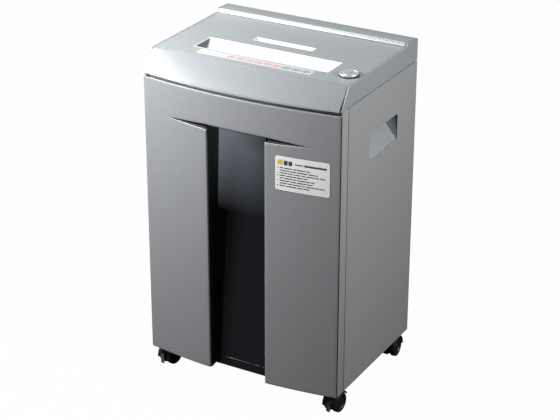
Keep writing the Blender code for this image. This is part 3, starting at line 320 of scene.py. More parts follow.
# Painted reflection: a glow that grows towards the top and towards the left.
leftward = add_node(
    tree,
    "ShaderNodeMapRange",
    {"Value": point.outputs["X"], "From Min": RECESS_HALF, "From Max": -RECESS_HALF, "To Min": 0.05},
)
sheen = add_node(
    tree,
    "ShaderNodeMath",
    {0: rise.outputs["Result"], 1: leftward.outputs["Result"]},
    operation="MULTIPLY",
)
amount = add_node(tree, "ShaderNodeMath", {0: sheen.outputs[0], 1: 0.7}, operation="MULTIPLY")
tree.links.new(amount.outputs[0], shader.inputs["Emission Strength"])
shader.inputs["Emission Color"].default_value = colour("#8d929c")
print(f"the sheen fades over the top {SHEEN_TALL * 1000:.0f} mm of the window")

# %% [markdown]
# Three steels show inside. The slides, the deck and the screws are zinc plated, which leaves patches of
# slightly different greys. The cutters are ground tool steel, which is glossier and mottled more finely.
# The gears are pressed from powder and sintered, so they stay dull and warm. The pores of the gears and
# the grinding marks of the cutters are too fine to see, so their cells are drawn about a millimetre wide.
# The patches of the zinc are drawn at their real size. The trim and the knob are plastic with a thin satin
# plating, which is brighter than paint but gives no clear mirror.

# %% Steels and trim
def bare_metal(name, dark, light, roughness, cell_mm, swing):
    """Unpainted metal in cells of slightly different greys."""
    finish, tree, shader = new_finish(name, light, roughness, metallic=1.0)
    cells = add_node(
        tree, "ShaderNodeTexVoronoi", {"Vector": place_of(tree), "Scale": per_metre(cell_mm)}, feature="F1"
    )
    tint = add_node(tree, "ShaderNodeValToRGB", {"Fac": cells.outputs["Color"]})
    tint.color_ramp.elements[0].color = colour(dark)
    tint.color_ramp.elements[1].color = colour(light)
    tree.links.new(tint.outputs["Color"], shader.inputs["Base Color"])
    mottle(tree, shader, "Roughness", cell_mm / 2, roughness - swing, roughness + swing)
    return finish


ZINC_STEEL = bare_metal("zinc_plated_steel", "#9a9da0", "#b9bcbf", 0.34, 8.0, 0.06)
TOOL_STEEL = bare_metal("ground_tool_steel", "#7d8084", "#999ca0", 0.26, 1.5, 0.08)
GEAR_STEEL = bare_metal("sintered_steel", "#77756f", "#8d8b85", 0.46, 0.8, 0.08)
TRIM_PLATE = metallic_paint("satin_trim_plate", "#a0a4a7", "#abafb2", 0.40, 0.3, 0.05)
KNOB_PLATE = metallic_paint("satin_silver_plate", "#b4b8bb", "#c2c6c8", 0.36, 0.35, 0.05)
print("metals:", ZINC_STEEL.name, TOOL_STEEL.name, GEAR_STEEL.name, TRIM_PLATE.name, KNOB_PLATE.name)

# %% [markdown]
# The last finishes are small: the board's green lacquer over copper tracks, the ink on the top plate, and
# the paper and ink of the label. Printing ink sits on the surface as a matt film, and a little of the
# ground shows through, so its colour is never quite even. It wanders over about four millimetres here.

# %% Board and inks
BOARD_GREEN, tree, shader = new_finish("board_lacquer", "#1d5a36", 0.35)
tracks = add_node(
    tree,
    "ShaderNodeTexBrick",
    {
        "Vector": place_of(tree),
        "Scale": 1.0,
        "Brick Width": 0.012,
        "Row Height": 0.004,
        "Mortar Size": 0.0006,
        "Color1": colour("#1d5a36"),
        "Color2": colour("#21633c"),
        "Mortar": colour("#3d8a55"),
    },
)
tree.links.new(tracks.outputs["Color"], shader.inputs["Base Color"])


INK_PATCH_MM = 4


def printed(name, ink, ground, roughness=0.55):
    """Ink or paper: a matt film whose colour wanders slightly."""
    finish, tree, shader = new_finish(name, ink, roughness)
    mottle(tree, shader, "Base Color", INK_PATCH_MM, ink, ground)
    return finish


RED_INK = printed("red_ink", "#c05a58", "#cc6f6c")
DARK_INK = printed("dark_ink", "#3a3d40", "#484b4e")
AMBER_INK = printed("amber_ink", "#d8b93c", "#e2c654")
STRIP_INK = printed("white_ground_ink", "#b4b8ba", "#bdc1c3")
PRINT_INK = printed("grey_ink", "#3e4245", "#4a4e51")
PALE_INK = printed("pale_grey_ink", "#8d9294", "#999ea0")
LABEL_PAPER = printed("label_paper", "#eceded", "#f5f5f5")
print("materials:", len(bpy.data.materials))

# %% [markdown]
# ## Making meshes
#
# Nearly every part here is a line of points swept along something: a moulded shell is a profile carried
# across the machine, a wheel is a profile carried round an axle. So one helper lays faces between rows of
# points, one rounds the corners of a line, and one merges the seams and turns the faces outwards.

# %% Lines and faces
SIDES = {-1: "left", 1: "right"}
GAP = 0.0003  # the clearance that the frame's pieces have from each other


def skin(shape, rows, loop=False, keep=lambda i, j: True):
    """Lays faces between neighbouring rows of points. keep says which cells are filled."""
    grid = [[shape.verts.new(point) for point in row] for row in rows]
    for i, (near, far) in enumerate(zip(grid, grid[1:])):
        for j in range(len(near) if loop else len(near) - 1):
            k = (j + 1) % len(near)
            if keep(i, j):
                shape.faces.new((near[j], near[k], far[k], far[j]))
    return grid


def on_side(side, inner, outer):
    """Low and high X of a slab between two distances from the middle, on one side of the machine."""
    return sorted((side * inner, side * outer))


def soften(points, radius, steps=3):
    """Rounds the inner corners of a line of points. Each corner becomes steps + 1 points."""
    line = [Vector(point) for point in points]
    out = [line[0]]
    for before, here, after in zip(line, line[1:], line[2:]):
        back, on = before - here, after - here
        reach = min(radius, back.length / 2, on.length / 2)
        start, end = here + back.normalized() * reach, here + on.normalized() * reach
        for i in range(steps + 1):
            t = i / steps
            out.append(start * (1 - t) ** 2 + here * 2 * t * (1 - t) + end * t**2)
    return out + [line[-1]]


def weld(shape, towards=None):
    """Merges points that coincide and turns all faces outwards. An open sheet is told which way that is."""
    bmesh.ops.remove_doubles(shape, verts=shape.verts, dist=1e-6)
    bmesh.ops.recalc_face_normals(shape, faces=shape.faces)
    if towards:
        shape.normal_update()
        total = sum((face.normal * face.calc_area() for face in shape.faces), Vector())
        if total.dot(Vector(towards)) < 0:
            bmesh.ops.reverse_faces(shape, faces=shape.faces)


corner = soften([(0, 0, 0), (1, 0, 0), (1, 1, 0)], 0.2)
print("one rounded corner has", len(corner) - 2, "points")

# %% [markdown]
# Four small solids come up again and again: a box, a loft through closed outlines, a prism, and a plate
# with a hole. The hole needs no cutting: faces are laid between the outline of the plate and the outline
# of the hole, which have the same number of points.

# %% Solids
PLANES = {
    "X": lambda u, v, w: (w, u, v),
    "Y": lambda u, v, w: (u, w, v),
    "Z": lambda u, v, w: (u, v, w),
}


def add_part(shape, part):
    """Closes a loose part and adds it to a shape."""
    weld(part)
    made = bpy.data.meshes.new("part")
    part.to_mesh(made)
    part.free()
    shape.from_mesh(made)
    bpy.data.meshes.remove(made)


def add_box(shape, low, high):
    """A box between two corners."""
    made = bmesh.ops.create_cube(shape, size=1)["verts"]
    low, high = Vector(low), Vector(high)
    bmesh.ops.scale(shape, vec=high - low, verts=made)
    bmesh.ops.translate(shape, vec=(low + high) / 2, verts=made)


def add_loft(shape, loops):
    """A closed solid through loops of points, with a cap at each end."""
    part = bmesh.new()
    grid = skin(part, loops, loop=True)
    part.faces.new(grid[0])
    part.faces.new(reversed(grid[-1]))
    add_part(shape, part)


def add_prism(shape, outline, axis, low, high):
    """A flat outline with a thickness. It is (Y, Z) for axis X, (X, Z) for Y and (X, Y) for Z."""
    add_loft(shape, [[PLANES[axis](u, v, w) for u, v in outline] for w in (low, high)])


def add_ring(shape, outer, inner, axis, low, high):
    """A plate with a hole, between two outlines that have as many points as each other."""
    part = bmesh.new()
    rows = []
    for outline, w in ((outer, low), (outer, high), (inner, high), (inner, low), (outer, low)):
        rows.append([PLANES[axis](u, v, w) for u, v in outline])
    skin(part, rows, loop=True)
    add_part(shape, part)


print("solids: box, loft, prism, ring")

# %% [markdown]
# Wheels, knobs and shafts are turned: a profile is carried round an axis. Plates and openings have rounded
# corners, and one function gives the outline of both.

# %% Turned parts and rounded outlines
AXES = {
    "X": Matrix.Rotation(math.pi / 2, 4, "Y"),
    "Y": Matrix.Rotation(-math.pi / 2, 4, "X"),
    "Z": Matrix.Identity(4),
}


def add_turned(shape, profile, place=Vector(), axis="X", steps=48):
    """A profile of (radius, distance along the axis) turned round the axis."""
    turn = Matrix.Translation(place) @ AXES[axis]
    part = bmesh.new()
    rings = []
    for i in range(steps):
        angle = 2 * math.pi * i / steps
        rings.append([turn @ Vector((r * math.cos(angle), r * math.sin(angle), a)) for r, a in profile])
    rings.append(rings[0])
    skin(part, rings)
    # A profile that stays clear of the axis, as a washer's does, is closed on its inner side.
    if profile[0][0] > 0:
        skin(part, [[ring[-1], ring[0]] for ring in rings])
    add_part(shape, part)


def rounded_loop(low, high, radius, steps=4):
    """Corner points of a rectangle with rounded corners, as (u, v) pairs."""
    (near_u, near_v), (far_u, far_v) = low, high
    corners = ((far_u, far_v, 0), (near_u, far_v, 90), (near_u, near_v, 180), (far_u, near_v, 270))
    loop = []
    for u, v, start in corners:
        centre_u = u - radius if u == far_u else u + radius
        centre_v = v - radius if v == far_v else v + radius
        for i in range(steps + 1):
            angle = math.radians(start + 90 * i / steps)
            loop.append((centre_u + radius * math.cos(angle), centre_v + radius * math.sin(angle)))
    return loop


print("a rounded rectangle has", len(rounded_loop((0, 0), (1, 1), 0.1)), "points")

# %% [markdown]
# A finished piece is a mesh with its material, its wall or its rounded edges, and two facts for the
# frame: the body it rides on and the solids it stands for.

# %% Finished pieces
def finish_piece(name, shape, finish, body, replaces=(), shell=0.0, bevel=0.0, smooth=38, even=True):
    """Makes a piece of a shape. Shell is its wall, inwards if above zero, and bevel rounds its edges."""
    mesh = bpy.data.meshes.new(name)
    shape.to_mesh(mesh)
    shape.free()
    mesh.materials.append(finish)
    mesh.shade_smooth()
    mesh.set_sharp_from_angle(angle=math.radians(smooth))
    piece = add_object(name, mesh)
    if shell:
        wall = piece.modifiers.new("wall", "SOLIDIFY")
        wall.thickness = abs(shell)
        wall.offset = -1 if shell > 0 else 1
        wall.use_even_offset = even
    if bevel:
        edges = piece.modifiers.new("edges", "BEVEL")
        edges.width = bevel
        edges.segments = 2
        edges.limit_method = "ANGLE"
        edges.angle_limit = math.radians(smooth)
        edges.harden_normals = True
    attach(piece, body)
    if replaces:
        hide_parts(*replaces)


# %% [markdown]
# ## Drawer front
#
# The front is one painted moulding. It bows forward at the middle, its band runs over the window, and
# under the band a finger groove tapers away on each side. The moulding is made as a sheet: at each point
# across the machine a profile goes up the front, into the groove, up the band and back over the top.
# Solidify then gives the sheet its wall.

# %% Shape of the drawer front
DOOR_TOP = DOOR_HIGH.z
DOOR_BACK = depth(0.0006)
DOOR_WALL = 0.0025
RECESS_TOP, RECESS_FOOT = 0.028, 0.004
GROOVE_TIP = HALF - 0.0525
GROOVE_TALL = 0.010
GROOVE_DEEP = 0.006
TIP_Z = BAND_Z - GROOVE_TALL / 2
EDGE = 0.0014
ROUND_STEPS = 3
DOOR_HALF = HALF - 0.0008


def window_line(z):
    """Y of the window's front face at a height: it leans back towards the top."""
    share = (z - BASE_Z) / (BAND_Z - BASE_Z)
    return depth(RECESS_FOOT + share * (RECESS_TOP - RECESS_FOOT))


def front_y(x):
    """Y of the bowed front at x."""
    return depth(-bow(x))


def groove_share(x):
    """How far the groove is open at x: fully at the window, closed at its outer tip."""
    return max(0.0, min(1.0, (GROOVE_TIP - abs(x)) / (GROOVE_TIP - RECESS_HALF)))


def braced(points, reach=0.004):
    """Adds a point near each end of a long span, so that a rounded edge keeps its shading to itself."""
    out = [points[0]]
    for here, there in zip(points, points[1:]):
        if (there - here).length > 0.03:
            step = (there - here).normalized() * reach
            out += [here + step, there - step]
        out.append(there)
    return out


def door_profile(x, wing_y, band_y):
    """Points up the front at x. The wing and the band can lie at different depths."""
    share = groove_share(x)
    deep = wing_y + GROOVE_DEEP * share
    wing_top = TIP_Z - GROOVE_TALL / 2 * share
    band_low = TIP_Z + GROOVE_TALL / 2 * share
    line = [
        (x, max(DOOR_BACK, wing_y), BASE_Z),
        (x, wing_y, BASE_Z),
        (x, wing_y, wing_top),
        (x, deep, wing_top),
        (x, deep, band_low),
        (x, band_y, band_low),
        (x, band_y, DOOR_TOP),
        (x, DOOR_BACK, DOOR_TOP),
    ]
    return braced(soften(line, EDGE, ROUND_STEPS))


print(f"the grooves run from x = {RECESS_HALF * 1000:.0f} to {GROOVE_TIP * 1000:.0f} mm")

# %% [markdown]
# The profiles stand closest together at the rounded upright edges. In the middle, where the recess is,
# only the band is left of the profile, and beside it each wing turns back a few millimetres.

# %% Drawer front
WING_STEPS = 30
MIDDLE_STEPS = 12
RETURN = 0.0025
CEILING = 4 * (ROUND_STEPS + 1) + 2  # the point in each profile where the band's underside starts


def wing_columns(side):
    """Places across one wing, from its outer edge to the window: x, the wing's Y and the band's Y."""
    columns = [(DOOR_HALF, DOOR_BACK, DOOR_BACK)]
    turns = [math.pi / 2 * i / ROUND_STEPS for i in range(ROUND_STEPS + 1)]
    for turn in turns:
        x = DOOR_HALF - EDGE * (1 - math.cos(turn))
        y = front_y(x) + EDGE * (1 - math.sin(turn))
        columns.append((x, min(y, DOOR_BACK), min(y, DOOR_BACK)))
    start, stop = DOOR_HALF - EDGE, RECESS_HALF + EDGE
    for i in range(1, WING_STEPS):
        x = start + (stop - start) * i / WING_STEPS
        columns.append((x, front_y(x), front_y(x)))
    for turn in turns:
        x = RECESS_HALF + EDGE * (1 - math.sin(turn))
        columns.append((x, front_y(x) + EDGE * (1 - math.cos(turn)), front_y(x)))
    return [(side * x, wing, band) for x, wing, band in columns]


door = bmesh.new()
for side in SIDES:
    columns = [door_profile(*place) for place in wing_columns(side)]
    skin(door, columns)
    corner = columns[-1][: CEILING + 1]
    skin(door, [corner, [(side * RECESS_HALF, point.y + RETURN, point.z) for point in corner]])
middle = []
for i in range(MIDDLE_STEPS + 1):
    x = RECESS_HALF * (2 * i / MIDDLE_STEPS - 1)
    full = door_profile(x, front_y(x) + EDGE, front_y(x))
    middle.append([(x, front_y(x) + EDGE + RETURN, BAND_Z)] + full[CEILING:])
skin(door, middle)
weld(door, (0, -1, 0))
# An even wall would spike where the profile folds back on itself, so the wall isn't kept even here.
finish_piece(
    "door_shell", door, DOOR_PAINT, "drawer", ["drawer_front"],
    shell=DOOR_WALL, even=False,
)
print("drawer front:", round(2 * HALF * 1000), "mm wide")

# %% [markdown]
# The window is a flat smoked panel that leans back behind the recess. A moulded sill stiffens its foot
# and a narrow rebate runs along its top, and both catch a line of light.

# %% Window
PANE_THICK, BAR_SINK = 0.0025, 0.0008
window = bmesh.new()
low_z, high_z = WINDOW_LOW.z, WINDOW_HIGH.z
pane = [
    (window_line(low_z) + GAP, low_z),
    (window_line(high_z) + GAP, high_z),
    (window_line(high_z) + GAP + PANE_THICK, high_z),
    (window_line(low_z) + GAP + PANE_THICK, low_z),
]
add_prism(window, pane, "X", WINDOW_LOW.x, WINDOW_HIGH.x)
SILL = (low_z + 0.016, 0.0022, 0.0009)
REBATE = (BAND_Z - 0.010, 0.003, 0.0008)
for foot, tall, proud in (SILL, REBATE):
    bar = []
    for z, out in ((foot, 0), (foot, proud), (foot + tall, proud), (foot + tall, 0)):
        bar.append((window_line(z) + BAR_SINK - out, z))
    add_prism(window, bar, "X", -RECESS_HALF + 0.0006, RECESS_HALF - 0.0006)
finish_piece(
    "smoked_window", window, SMOKED_ACRYLIC, "drawer", ["bin_window"], bevel=0.0004
)
print(f"window {(high_z - low_z) * 1000:.0f} mm tall")

# %% [markdown]
# The recess around the window is lined with black plastic. It is dull and dark, so the painted edges of
# the wings and of the band stand out against it.

# %% Lining of the recess
LINING = 0.0015


def bow_outline(low_x, high_x, inset, back, steps=8):
    """Plan outline between the bowed front, set in by an inset, and a straight back."""
    xs = [low_x + (high_x - low_x) * i / steps for i in range(steps + 1)]
    return [(x, front_y(x) + inset) for x in xs] + [(high_x, back), (low_x, back)]


lining = bmesh.new()
wall_y = front_y(RECESS_HALF) + EDGE + RETURN + GAP
wall_top = BAND_Z - GAP
wall = [
    (wall_y, BASE_Z),
    (wall_y, wall_top),
    (window_line(wall_top), wall_top),
    (window_line(BASE_Z), BASE_Z),
]
for side in SIDES:
    low_x, high_x = on_side(side, RECESS_HALF, RECESS_HALF + LINING)
    add_prism(lining, wall, "X", low_x, high_x)
ceiling = bow_outline(-RECESS_HALF, RECESS_HALF, EDGE + RETURN + GAP, window_line(BAND_Z))
add_prism(lining, ceiling, "Z", BAND_Z, BAND_Z + LINING)
finish_piece("recess_lining", lining, BLACK_ABS, "drawer")
print("lining:", LINING * 1000, "mm thick")

# %% [markdown]
# The finger grooves are painted with the front but stay in their own shadow. A thin dark sheet laid
# inside them is painted shade that keeps them dark to the tip. It has the same softened corners as the
# groove, a hair's breadth inside it.

# %% Painted shade in the grooves
# Painted shade: a dark sheet just inside each groove.
groove_lining = bmesh.new()
OVER = 0.00015
SHADE_SHEET_STEPS = 20
start, stop = RECESS_HALF + EDGE, GROOVE_TIP - 0.006
for side in SIDES:
    rows = []
    for i in range(SHADE_SHEET_STEPS + 1):
        x = side * (start + (stop - start) * i / SHADE_SHEET_STEPS)
        half = GROOVE_TALL / 2 * groove_share(x) - OVER
        near, deep = front_y(x) + 0.0008, front_y(x) + GROOVE_DEEP * groove_share(x) - OVER
        near = min(near, deep)
        corners = [(x, y, TIP_Z + z) for y, z in ((near, -half), (deep, -half), (deep, half), (near, half))]
        rows.append(soften(corners, EDGE))
    skin(groove_lining, rows)
weld(groove_lining, (0, -1, 0))
finish_piece("groove_lining", groove_lining, BLACK_ABS, "drawer", shell=0.0001)
print("groove linings:", len(SIDES))

# %% [markdown]
# Behind the front, thin ribs stiffen the moulding where the slides and the window are fixed. They show
# only when the drawer is out.

# %% Ribs behind the drawer front
RAIL_LOW, RAIL_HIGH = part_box("left_rail")
rib_heights = [BASE_Z + 0.005, RAIL_LOW.z - 0.004, RAIL_HIGH.z + 0.004, BAND_Z - 0.018, BAND_Z + 0.004]
RIB_HALF = 0.001
ribs = bmesh.new()
for z in rib_heights:
    for side in SIDES:
        low_x, high_x = on_side(side, RECESS_HALF + 0.0030, DOOR_HALF - 0.0030)
        add_prism(ribs, bow_outline(low_x, high_x, 0.002, DOOR_BACK), "Z", z - RIB_HALF, z + RIB_HALF)
finish_piece("door_ribs", ribs, DOOR_PAINT, "drawer")
print("ribs:", 2 * len(rib_heights))

# %% [markdown]
# ## Cabinet
#
# The cabinet is folded sheet steel around a moulded ring. The ring's deep side walls show as a strip
# between the drawer and each side panel, and the panels lap over its rear.

# %% Front ring
PANEL_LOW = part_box("right_side_panel")[0]
FRAME_FRONT, FRAME_LEDGE, FRAME_REAR = depth(0.0038), depth(0.0112), depth(0.038)
FRAME_SHOWN = PANEL_LOW.y - 0.0022
FRAME_WALL = 0.003
FRAME_TOP = SEAM_Z - 0.0012
SHEET = 0.0015
INSIDE = HALF - SHEET - GAP

ring = bmesh.new()
mouth_low, mouth_high = (-HALF + FRAME_WALL, BASE_Z + 0.021), (HALF - FRAME_WALL, SEAM_Z - 0.028)
for half, near, far in ((HALF, FRAME_LEDGE, FRAME_SHOWN), (INSIDE - GAP, FRAME_SHOWN, FRAME_REAR)):
    outer = rounded_loop((-half, BASE_Z), (half, FRAME_TOP), 0.0008)
    add_ring(ring, outer, rounded_loop(mouth_low, mouth_high, 0.0012), "Y", near, far)
for side in SIDES:
    low_x, high_x = on_side(side, HALF - FRAME_WALL, HALF)
    add_box(ring, (low_x, FRAME_FRONT, BASE_Z), (high_x, FRAME_LEDGE + GAP, FRAME_TOP))
finish_piece(
    "drawer_mouth_ring", ring, STEEL_PAINT, "cabinet", ["front_frame"], bevel=0.0007
)
print(f"the ring shows {(FRAME_SHOWN - FRAME_FRONT) * 1000:.0f} mm of its side walls")

# %% [markdown]
# A black strip fills the gaps down each side of the strip, between drawer, ring and panel, and from
# outside it shows only as a thin dark line.

# %% Dark strips in the gaps of the drawer's mouth
dark_gap_strip = bmesh.new()
for side in SIDES:
    for inner, outer, near, far in (
        (HALF - 0.0007, HALF - 0.0001, depth(0.0010), FRAME_FRONT - 0.0001),
        (INSIDE, HALF - 0.0003, FRAME_SHOWN + 0.0001, PANEL_LOW.y - 0.0001),
    ):
        low_x, high_x = on_side(side, inner, outer)
        plan = rounded_loop((low_x, near), (high_x, far), 0.0002, 2)
        add_prism(dark_gap_strip, plan, "Z", BASE_Z + 0.002, FRAME_TOP - 0.008)
finish_piece("mouth_seal", dark_gap_strip, BLACK_ABS, "cabinet")
print("seals:", 2 * len(SIDES))

# %% [markdown]
# Each side panel is one sheet of steel, 1.5 mm thick, with a flange turned in at the rear and a hole for
# the grip. The edges of a bent and sprayed sheet are slightly round, and that is what draws the bright
# lines down them.

# %% Side panels
CUP_LOW, CUP_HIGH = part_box("right_grip_cup")
CUP_WALL = 0.002
CUP_RIM = 0.006
GRIP_FRONT, GRIP_REAR = CUP_LOW.y + CUP_WALL + CUP_RIM, CUP_HIGH.y - CUP_WALL - CUP_RIM
GRIP_LOW, GRIP_HIGH = CUP_LOW.z + 0.008, CUP_HIGH.z - 0.008

for side, hand in SIDES.items():
    panel = bmesh.new()
    low_x, high_x = on_side(side, HALF, HALF - SHEET)
    add_ring(
        panel,
        rounded_loop((PANEL_LOW.y, BASE_Z), (REAR, FRAME_TOP), 0.0008),
        rounded_loop((GRIP_FRONT, GRIP_LOW), (GRIP_REAR, GRIP_HIGH), 0.0035),
        "X",
        low_x,
        high_x,
    )
    near_x, far_x = on_side(side, HALF - 0.0006, HALF - 0.012)
    add_box(panel, (near_x, REAR - SHEET, BASE_Z + 0.002), (far_x, REAR - 0.0001, FRAME_TOP - 0.002))
    finish_piece(
        f"{hand}_steel_side", panel, STEEL_PAINT, "cabinet", [f"{hand}_side_panel"],
        bevel=0.0006,
    )
print(f"grip hole {(GRIP_REAR - GRIP_FRONT) * 1000:.0f} x {(GRIP_HIGH - GRIP_LOW) * 1000:.0f} mm")

# %% [markdown]
# The grip is a moulded cup behind the hole. A hand slides up its ramp and hooks over the upper edge. Its
# section is drawn once, carried from front to back, and closed with a wall at each end.

# %% Side grips
GRIP_DEEP, GRIP_RAMP, GRIP_LIP = 0.028, 0.036, 0.007

for side, hand in SIDES.items():
    cup = bmesh.new()
    mouth, floor = side * INSIDE, side * (INSIDE - GRIP_DEEP)
    section = [
        (mouth, GRIP_LOW - GRIP_LIP),
        (mouth, GRIP_LOW),
        (floor, GRIP_LOW + GRIP_RAMP),
        (floor, GRIP_HIGH),
        (mouth, GRIP_HIGH),
        (mouth, GRIP_HIGH + GRIP_LIP),
    ]
    line = soften([(x, 0, z) for x, z in section], 0.002)
    ends = (GRIP_FRONT, GRIP_REAR)
    rows = [[(x, y, z) for x, _, z in line] for y in ends]
    skin(cup, rows)
    inner = [point for point in line if GRIP_LOW - 1e-6 <= point.z <= GRIP_HIGH + 1e-6]
    for y in ends:
        cup.faces.new([cup.verts.new((x, y, z)) for x, _, z in inner])
    weld(cup, (side, 0, 0))
    finish_piece(
        f"{hand}_grip", cup, HEAD_PAINT, "cabinet", [f"{hand}_grip_cup"], shell=0.0018
    )
print(f"grips: {len(SIDES)}, {GRIP_DEEP * 1000:.0f} mm deep")

# %% [markdown]
# ## Head
#
# The head is a shallow moulding in a lighter silver. Its fascia leans back, straight along the top and
# bowed along its lip, so that it follows the drawer below. Again one profile per place across the
# machine makes the sheet, and its rounded edges are part of the profile.

# %% Fascia
CHEEK = CHEEK_HIGH.x - CHEEK_LOW.x
HEAD_HALF = HALF - CHEEK - 0.0010
HEAD_WALL = 0.0025
LEAN = 0.0285
LIP = 0.003
FASCIA_STEPS = 48

fascia = bmesh.new()
rows = []
for i in range(FASCIA_STEPS + 1):
    x = HEAD_HALF * (2 * i / FASCIA_STEPS - 1)
    profile = [
        (x, depth(LEAN + 0.0034), PLATE_Z),
        (x, depth(LEAN), PLATE_Z),
        (x, front_y(x) - LIP, SEAM_Z + GAP),
        (x, depth(0.0115), SEAM_Z + GAP),
    ]
    rows.append(soften(profile, 0.0016))
skin(fascia, rows)
weld(fascia, (0, -1, 1))
finish_piece(
    "sloping_fascia", fascia, SHADED_FASCIA_PAINT, "cabinet", ["head_fascia"],
    shell=HEAD_WALL, bevel=0.0004,
)
print(f"the fascia leans back {LEAN * 1000:.1f} mm over {(PLATE_Z - SEAM_Z) * 1000:.0f} mm")

# %% [markdown]
# Between the fascia's lip and the drawer front lies a grey strip, set back into the gap. It closes the gap
# to dust and leaves a dark line above and below it.

# %% Strip under the lip
LIP_STRIP_TALL, LIP_STRIP_TOP = 0.003, SEAM_Z - 0.0012
lip_strip = bmesh.new()
plan = bow_outline(-HEAD_HALF, HEAD_HALF, 0.0016, depth(0.002), 24)
add_prism(lip_strip, plan, "Z", LIP_STRIP_TOP - LIP_STRIP_TALL, LIP_STRIP_TOP)
finish_piece("lip_strip", lip_strip, GREY_ABS, "cabinet", bevel=0.0004)
print(f"strip {LIP_STRIP_TALL * 1000:.0f} mm tall")

# %% [markdown]
# The top plate, the step, the rear ledge and the back wall are one moulding. Its flat part is laid as a
# grid whose lines run along the edges of the two inlets, and the cells inside the inlets stay empty.

# %% Top cover
DISC_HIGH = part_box("disc_chute")[1]
TRIM_LOW, TRIM_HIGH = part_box("ledge_trim")
INLET_FLANGE = 0.005
INLET_HALF = THROAT_HIGH.x - INLET_FLANGE
INLET_FRONT, INLET_REAR = THROAT_LOW.y + INLET_FLANGE, THROAT_HIGH.y - INLET_FLANGE
DISC_HALF = DISC_HIGH.x - INLET_FLANGE
DISC_REAR = DISC_HIGH.y - INLET_FLANGE
DISC_FRONT = DISC_REAR - 0.018
STEP_Y = depth(0.255)
STEP_RUN, LEDGE_RISE, LEDGE_FALL, REAR_CHAMFER = 0.0045, 0.0075, 0.003, 0.003

cover = bmesh.new()
xs = [-HEAD_HALF, -INLET_HALF, -DISC_HALF, DISC_HALF, INLET_HALF, HEAD_HALF]
flat = [depth(LEAN + 0.0038), INLET_FRONT, INLET_REAR, DISC_FRONT, DISC_REAR]
ledge = [
    (DISC_REAR, PLATE_Z),
    (STEP_Y, PLATE_Z),
    (STEP_Y + STEP_RUN, PLATE_Z + LEDGE_RISE),
    (REAR - REAR_CHAMFER, PLATE_Z + LEDGE_RISE - LEDGE_FALL),
    (REAR, PLATE_Z + LEDGE_RISE - LEDGE_FALL - REAR_CHAMFER),
    (REAR, SEAM_Z),
]
rows = []
for x in xs:
    tail = soften([(x, y, z) for y, z in ledge], 0.0022)
    rows.append([(x, y, PLATE_Z) for y in flat] + tail[1:])
openings = {(1, 1), (2, 1), (3, 1), (2, 3)}  # the paper inlet is three cells wide, the disc inlet one
skin(cover, rows, keep=lambda i, j: (i, j) not in openings)
weld(cover, (0, 0, 1))
finish_piece(
    "top_plate_and_ledge", cover, HEAD_PAINT, "cabinet", ["top_cover"],
    shell=HEAD_WALL, bevel=0.0004,
)
print(f"paper inlet {2 * INLET_HALF * 1000:.0f} mm, disc inlet {2 * DISC_HALF * 1000:.0f} mm")

# %% [markdown]
# A flat cheek closes each end of the head. It is flush with the plate, with a thin dark seam between
# them, and its edge is rounded.

# %% Cheeks
cheek_line = [(depth(0), SEAM_Z), (depth(LEAN), PLATE_Z)] + ledge[1:]
cheek_points = [(y, z) for _, y, z in soften([(0, y, z) for y, z in cheek_line], 0.0018)]
for side, hand in SIDES.items():
    cheek = bmesh.new()
    low_x, high_x = on_side(side, HALF, HALF - CHEEK)
    add_prism(cheek, cheek_points, "X", low_x, high_x)
    finish_piece(
        f"{hand}_cheek", cheek, HEAD_PAINT, "cabinet", [f"{hand}_head_cheek"], bevel=0.0007
    )
print(f"cheeks: {len(SIDES)}, {CHEEK * 1000:.1f} mm thick")

# %% [markdown]
# A bright strip covers the step up to the ledge. It is a plated moulding with two raised beads and a
# shallow valley between them.

# %% Trim along the ledge
trim = bmesh.new()
rise = Vector((0, STEP_RUN, LEDGE_RISE)).normalized()
out = Vector((0, -LEDGE_RISE, STEP_RUN)).normalized()
foot = Vector((0, STEP_Y, PLATE_Z)) + rise * 0.0006 + out * GAP
TRIM_WIDTH, TRIM_THICK = 0.008, 0.0016
bead = [(0, 0), (0, 0.8), (0.08, 1), (0.3, 1), (0.38, 0.3)]
bead += [(0.62, 0.3), (0.7, 1), (0.92, 1), (1, 0.8), (1, 0)]
line = []
for along, up in bead:
    point = foot + rise * TRIM_WIDTH * along + out * TRIM_THICK * up
    line.append((point.y, point.z))
add_prism(trim, line, "X", TRIM_LOW.x, TRIM_HIGH.x)
finish_piece("chrome_strip", trim, TRIM_PLATE, "cabinet", ["ledge_trim"], bevel=0.00025)
print(f"trim {(TRIM_HIGH.x - TRIM_LOW.x) * 1000:.0f} mm long")

# %% [markdown]
# The groove under the trim shows only along its foot, as a line of shade, so a thin black bar there
# paints that shade.

# %% Painted shade line under the trim
# Painted shade: a thin black bar where the groove under the trim lies in shadow.
trim_seat = bmesh.new()
line = []
for along, up in ((-0.0026, -0.0002), (-0.0001, -0.0002), (-0.0001, 0.0006), (-0.0026, 0.0004)):
    point = foot + rise * along + out * up
    line.append((point.y, point.z))
add_prism(trim_seat, line, "X", TRIM_LOW.x, TRIM_HIGH.x)
finish_piece("trim_seat", trim_seat, BLACK_ABS, "cabinet")
print("dark line:", len(line), "corners in its section")

# %% [markdown]
# The paper inlet is a white funnel: its rear slope guides the sheets to the slot. It is lofted from one
# rounded outline to the next, from the flush rim down to the slot and into the chute under it.

# %% Paper inlet
def outline_at(half, front, rear, inset, radius, z):
    """The outline of an opening, set in by an inset, at a height."""
    loop = rounded_loop((-half + inset, front + inset), (half - inset, rear - inset), radius)
    return [(x, y, z) for x, y in loop]


def add_inlet(name, rows, node):
    """A funnel through outlines that get smaller on their way down."""
    shape = bmesh.new()
    skin(shape, rows, loop=True)
    weld(shape, (0, 0, 1))
    finish_piece(name, shape, WHITE_ABS, "cabinet", [node], shell=0.0015, smooth=30)


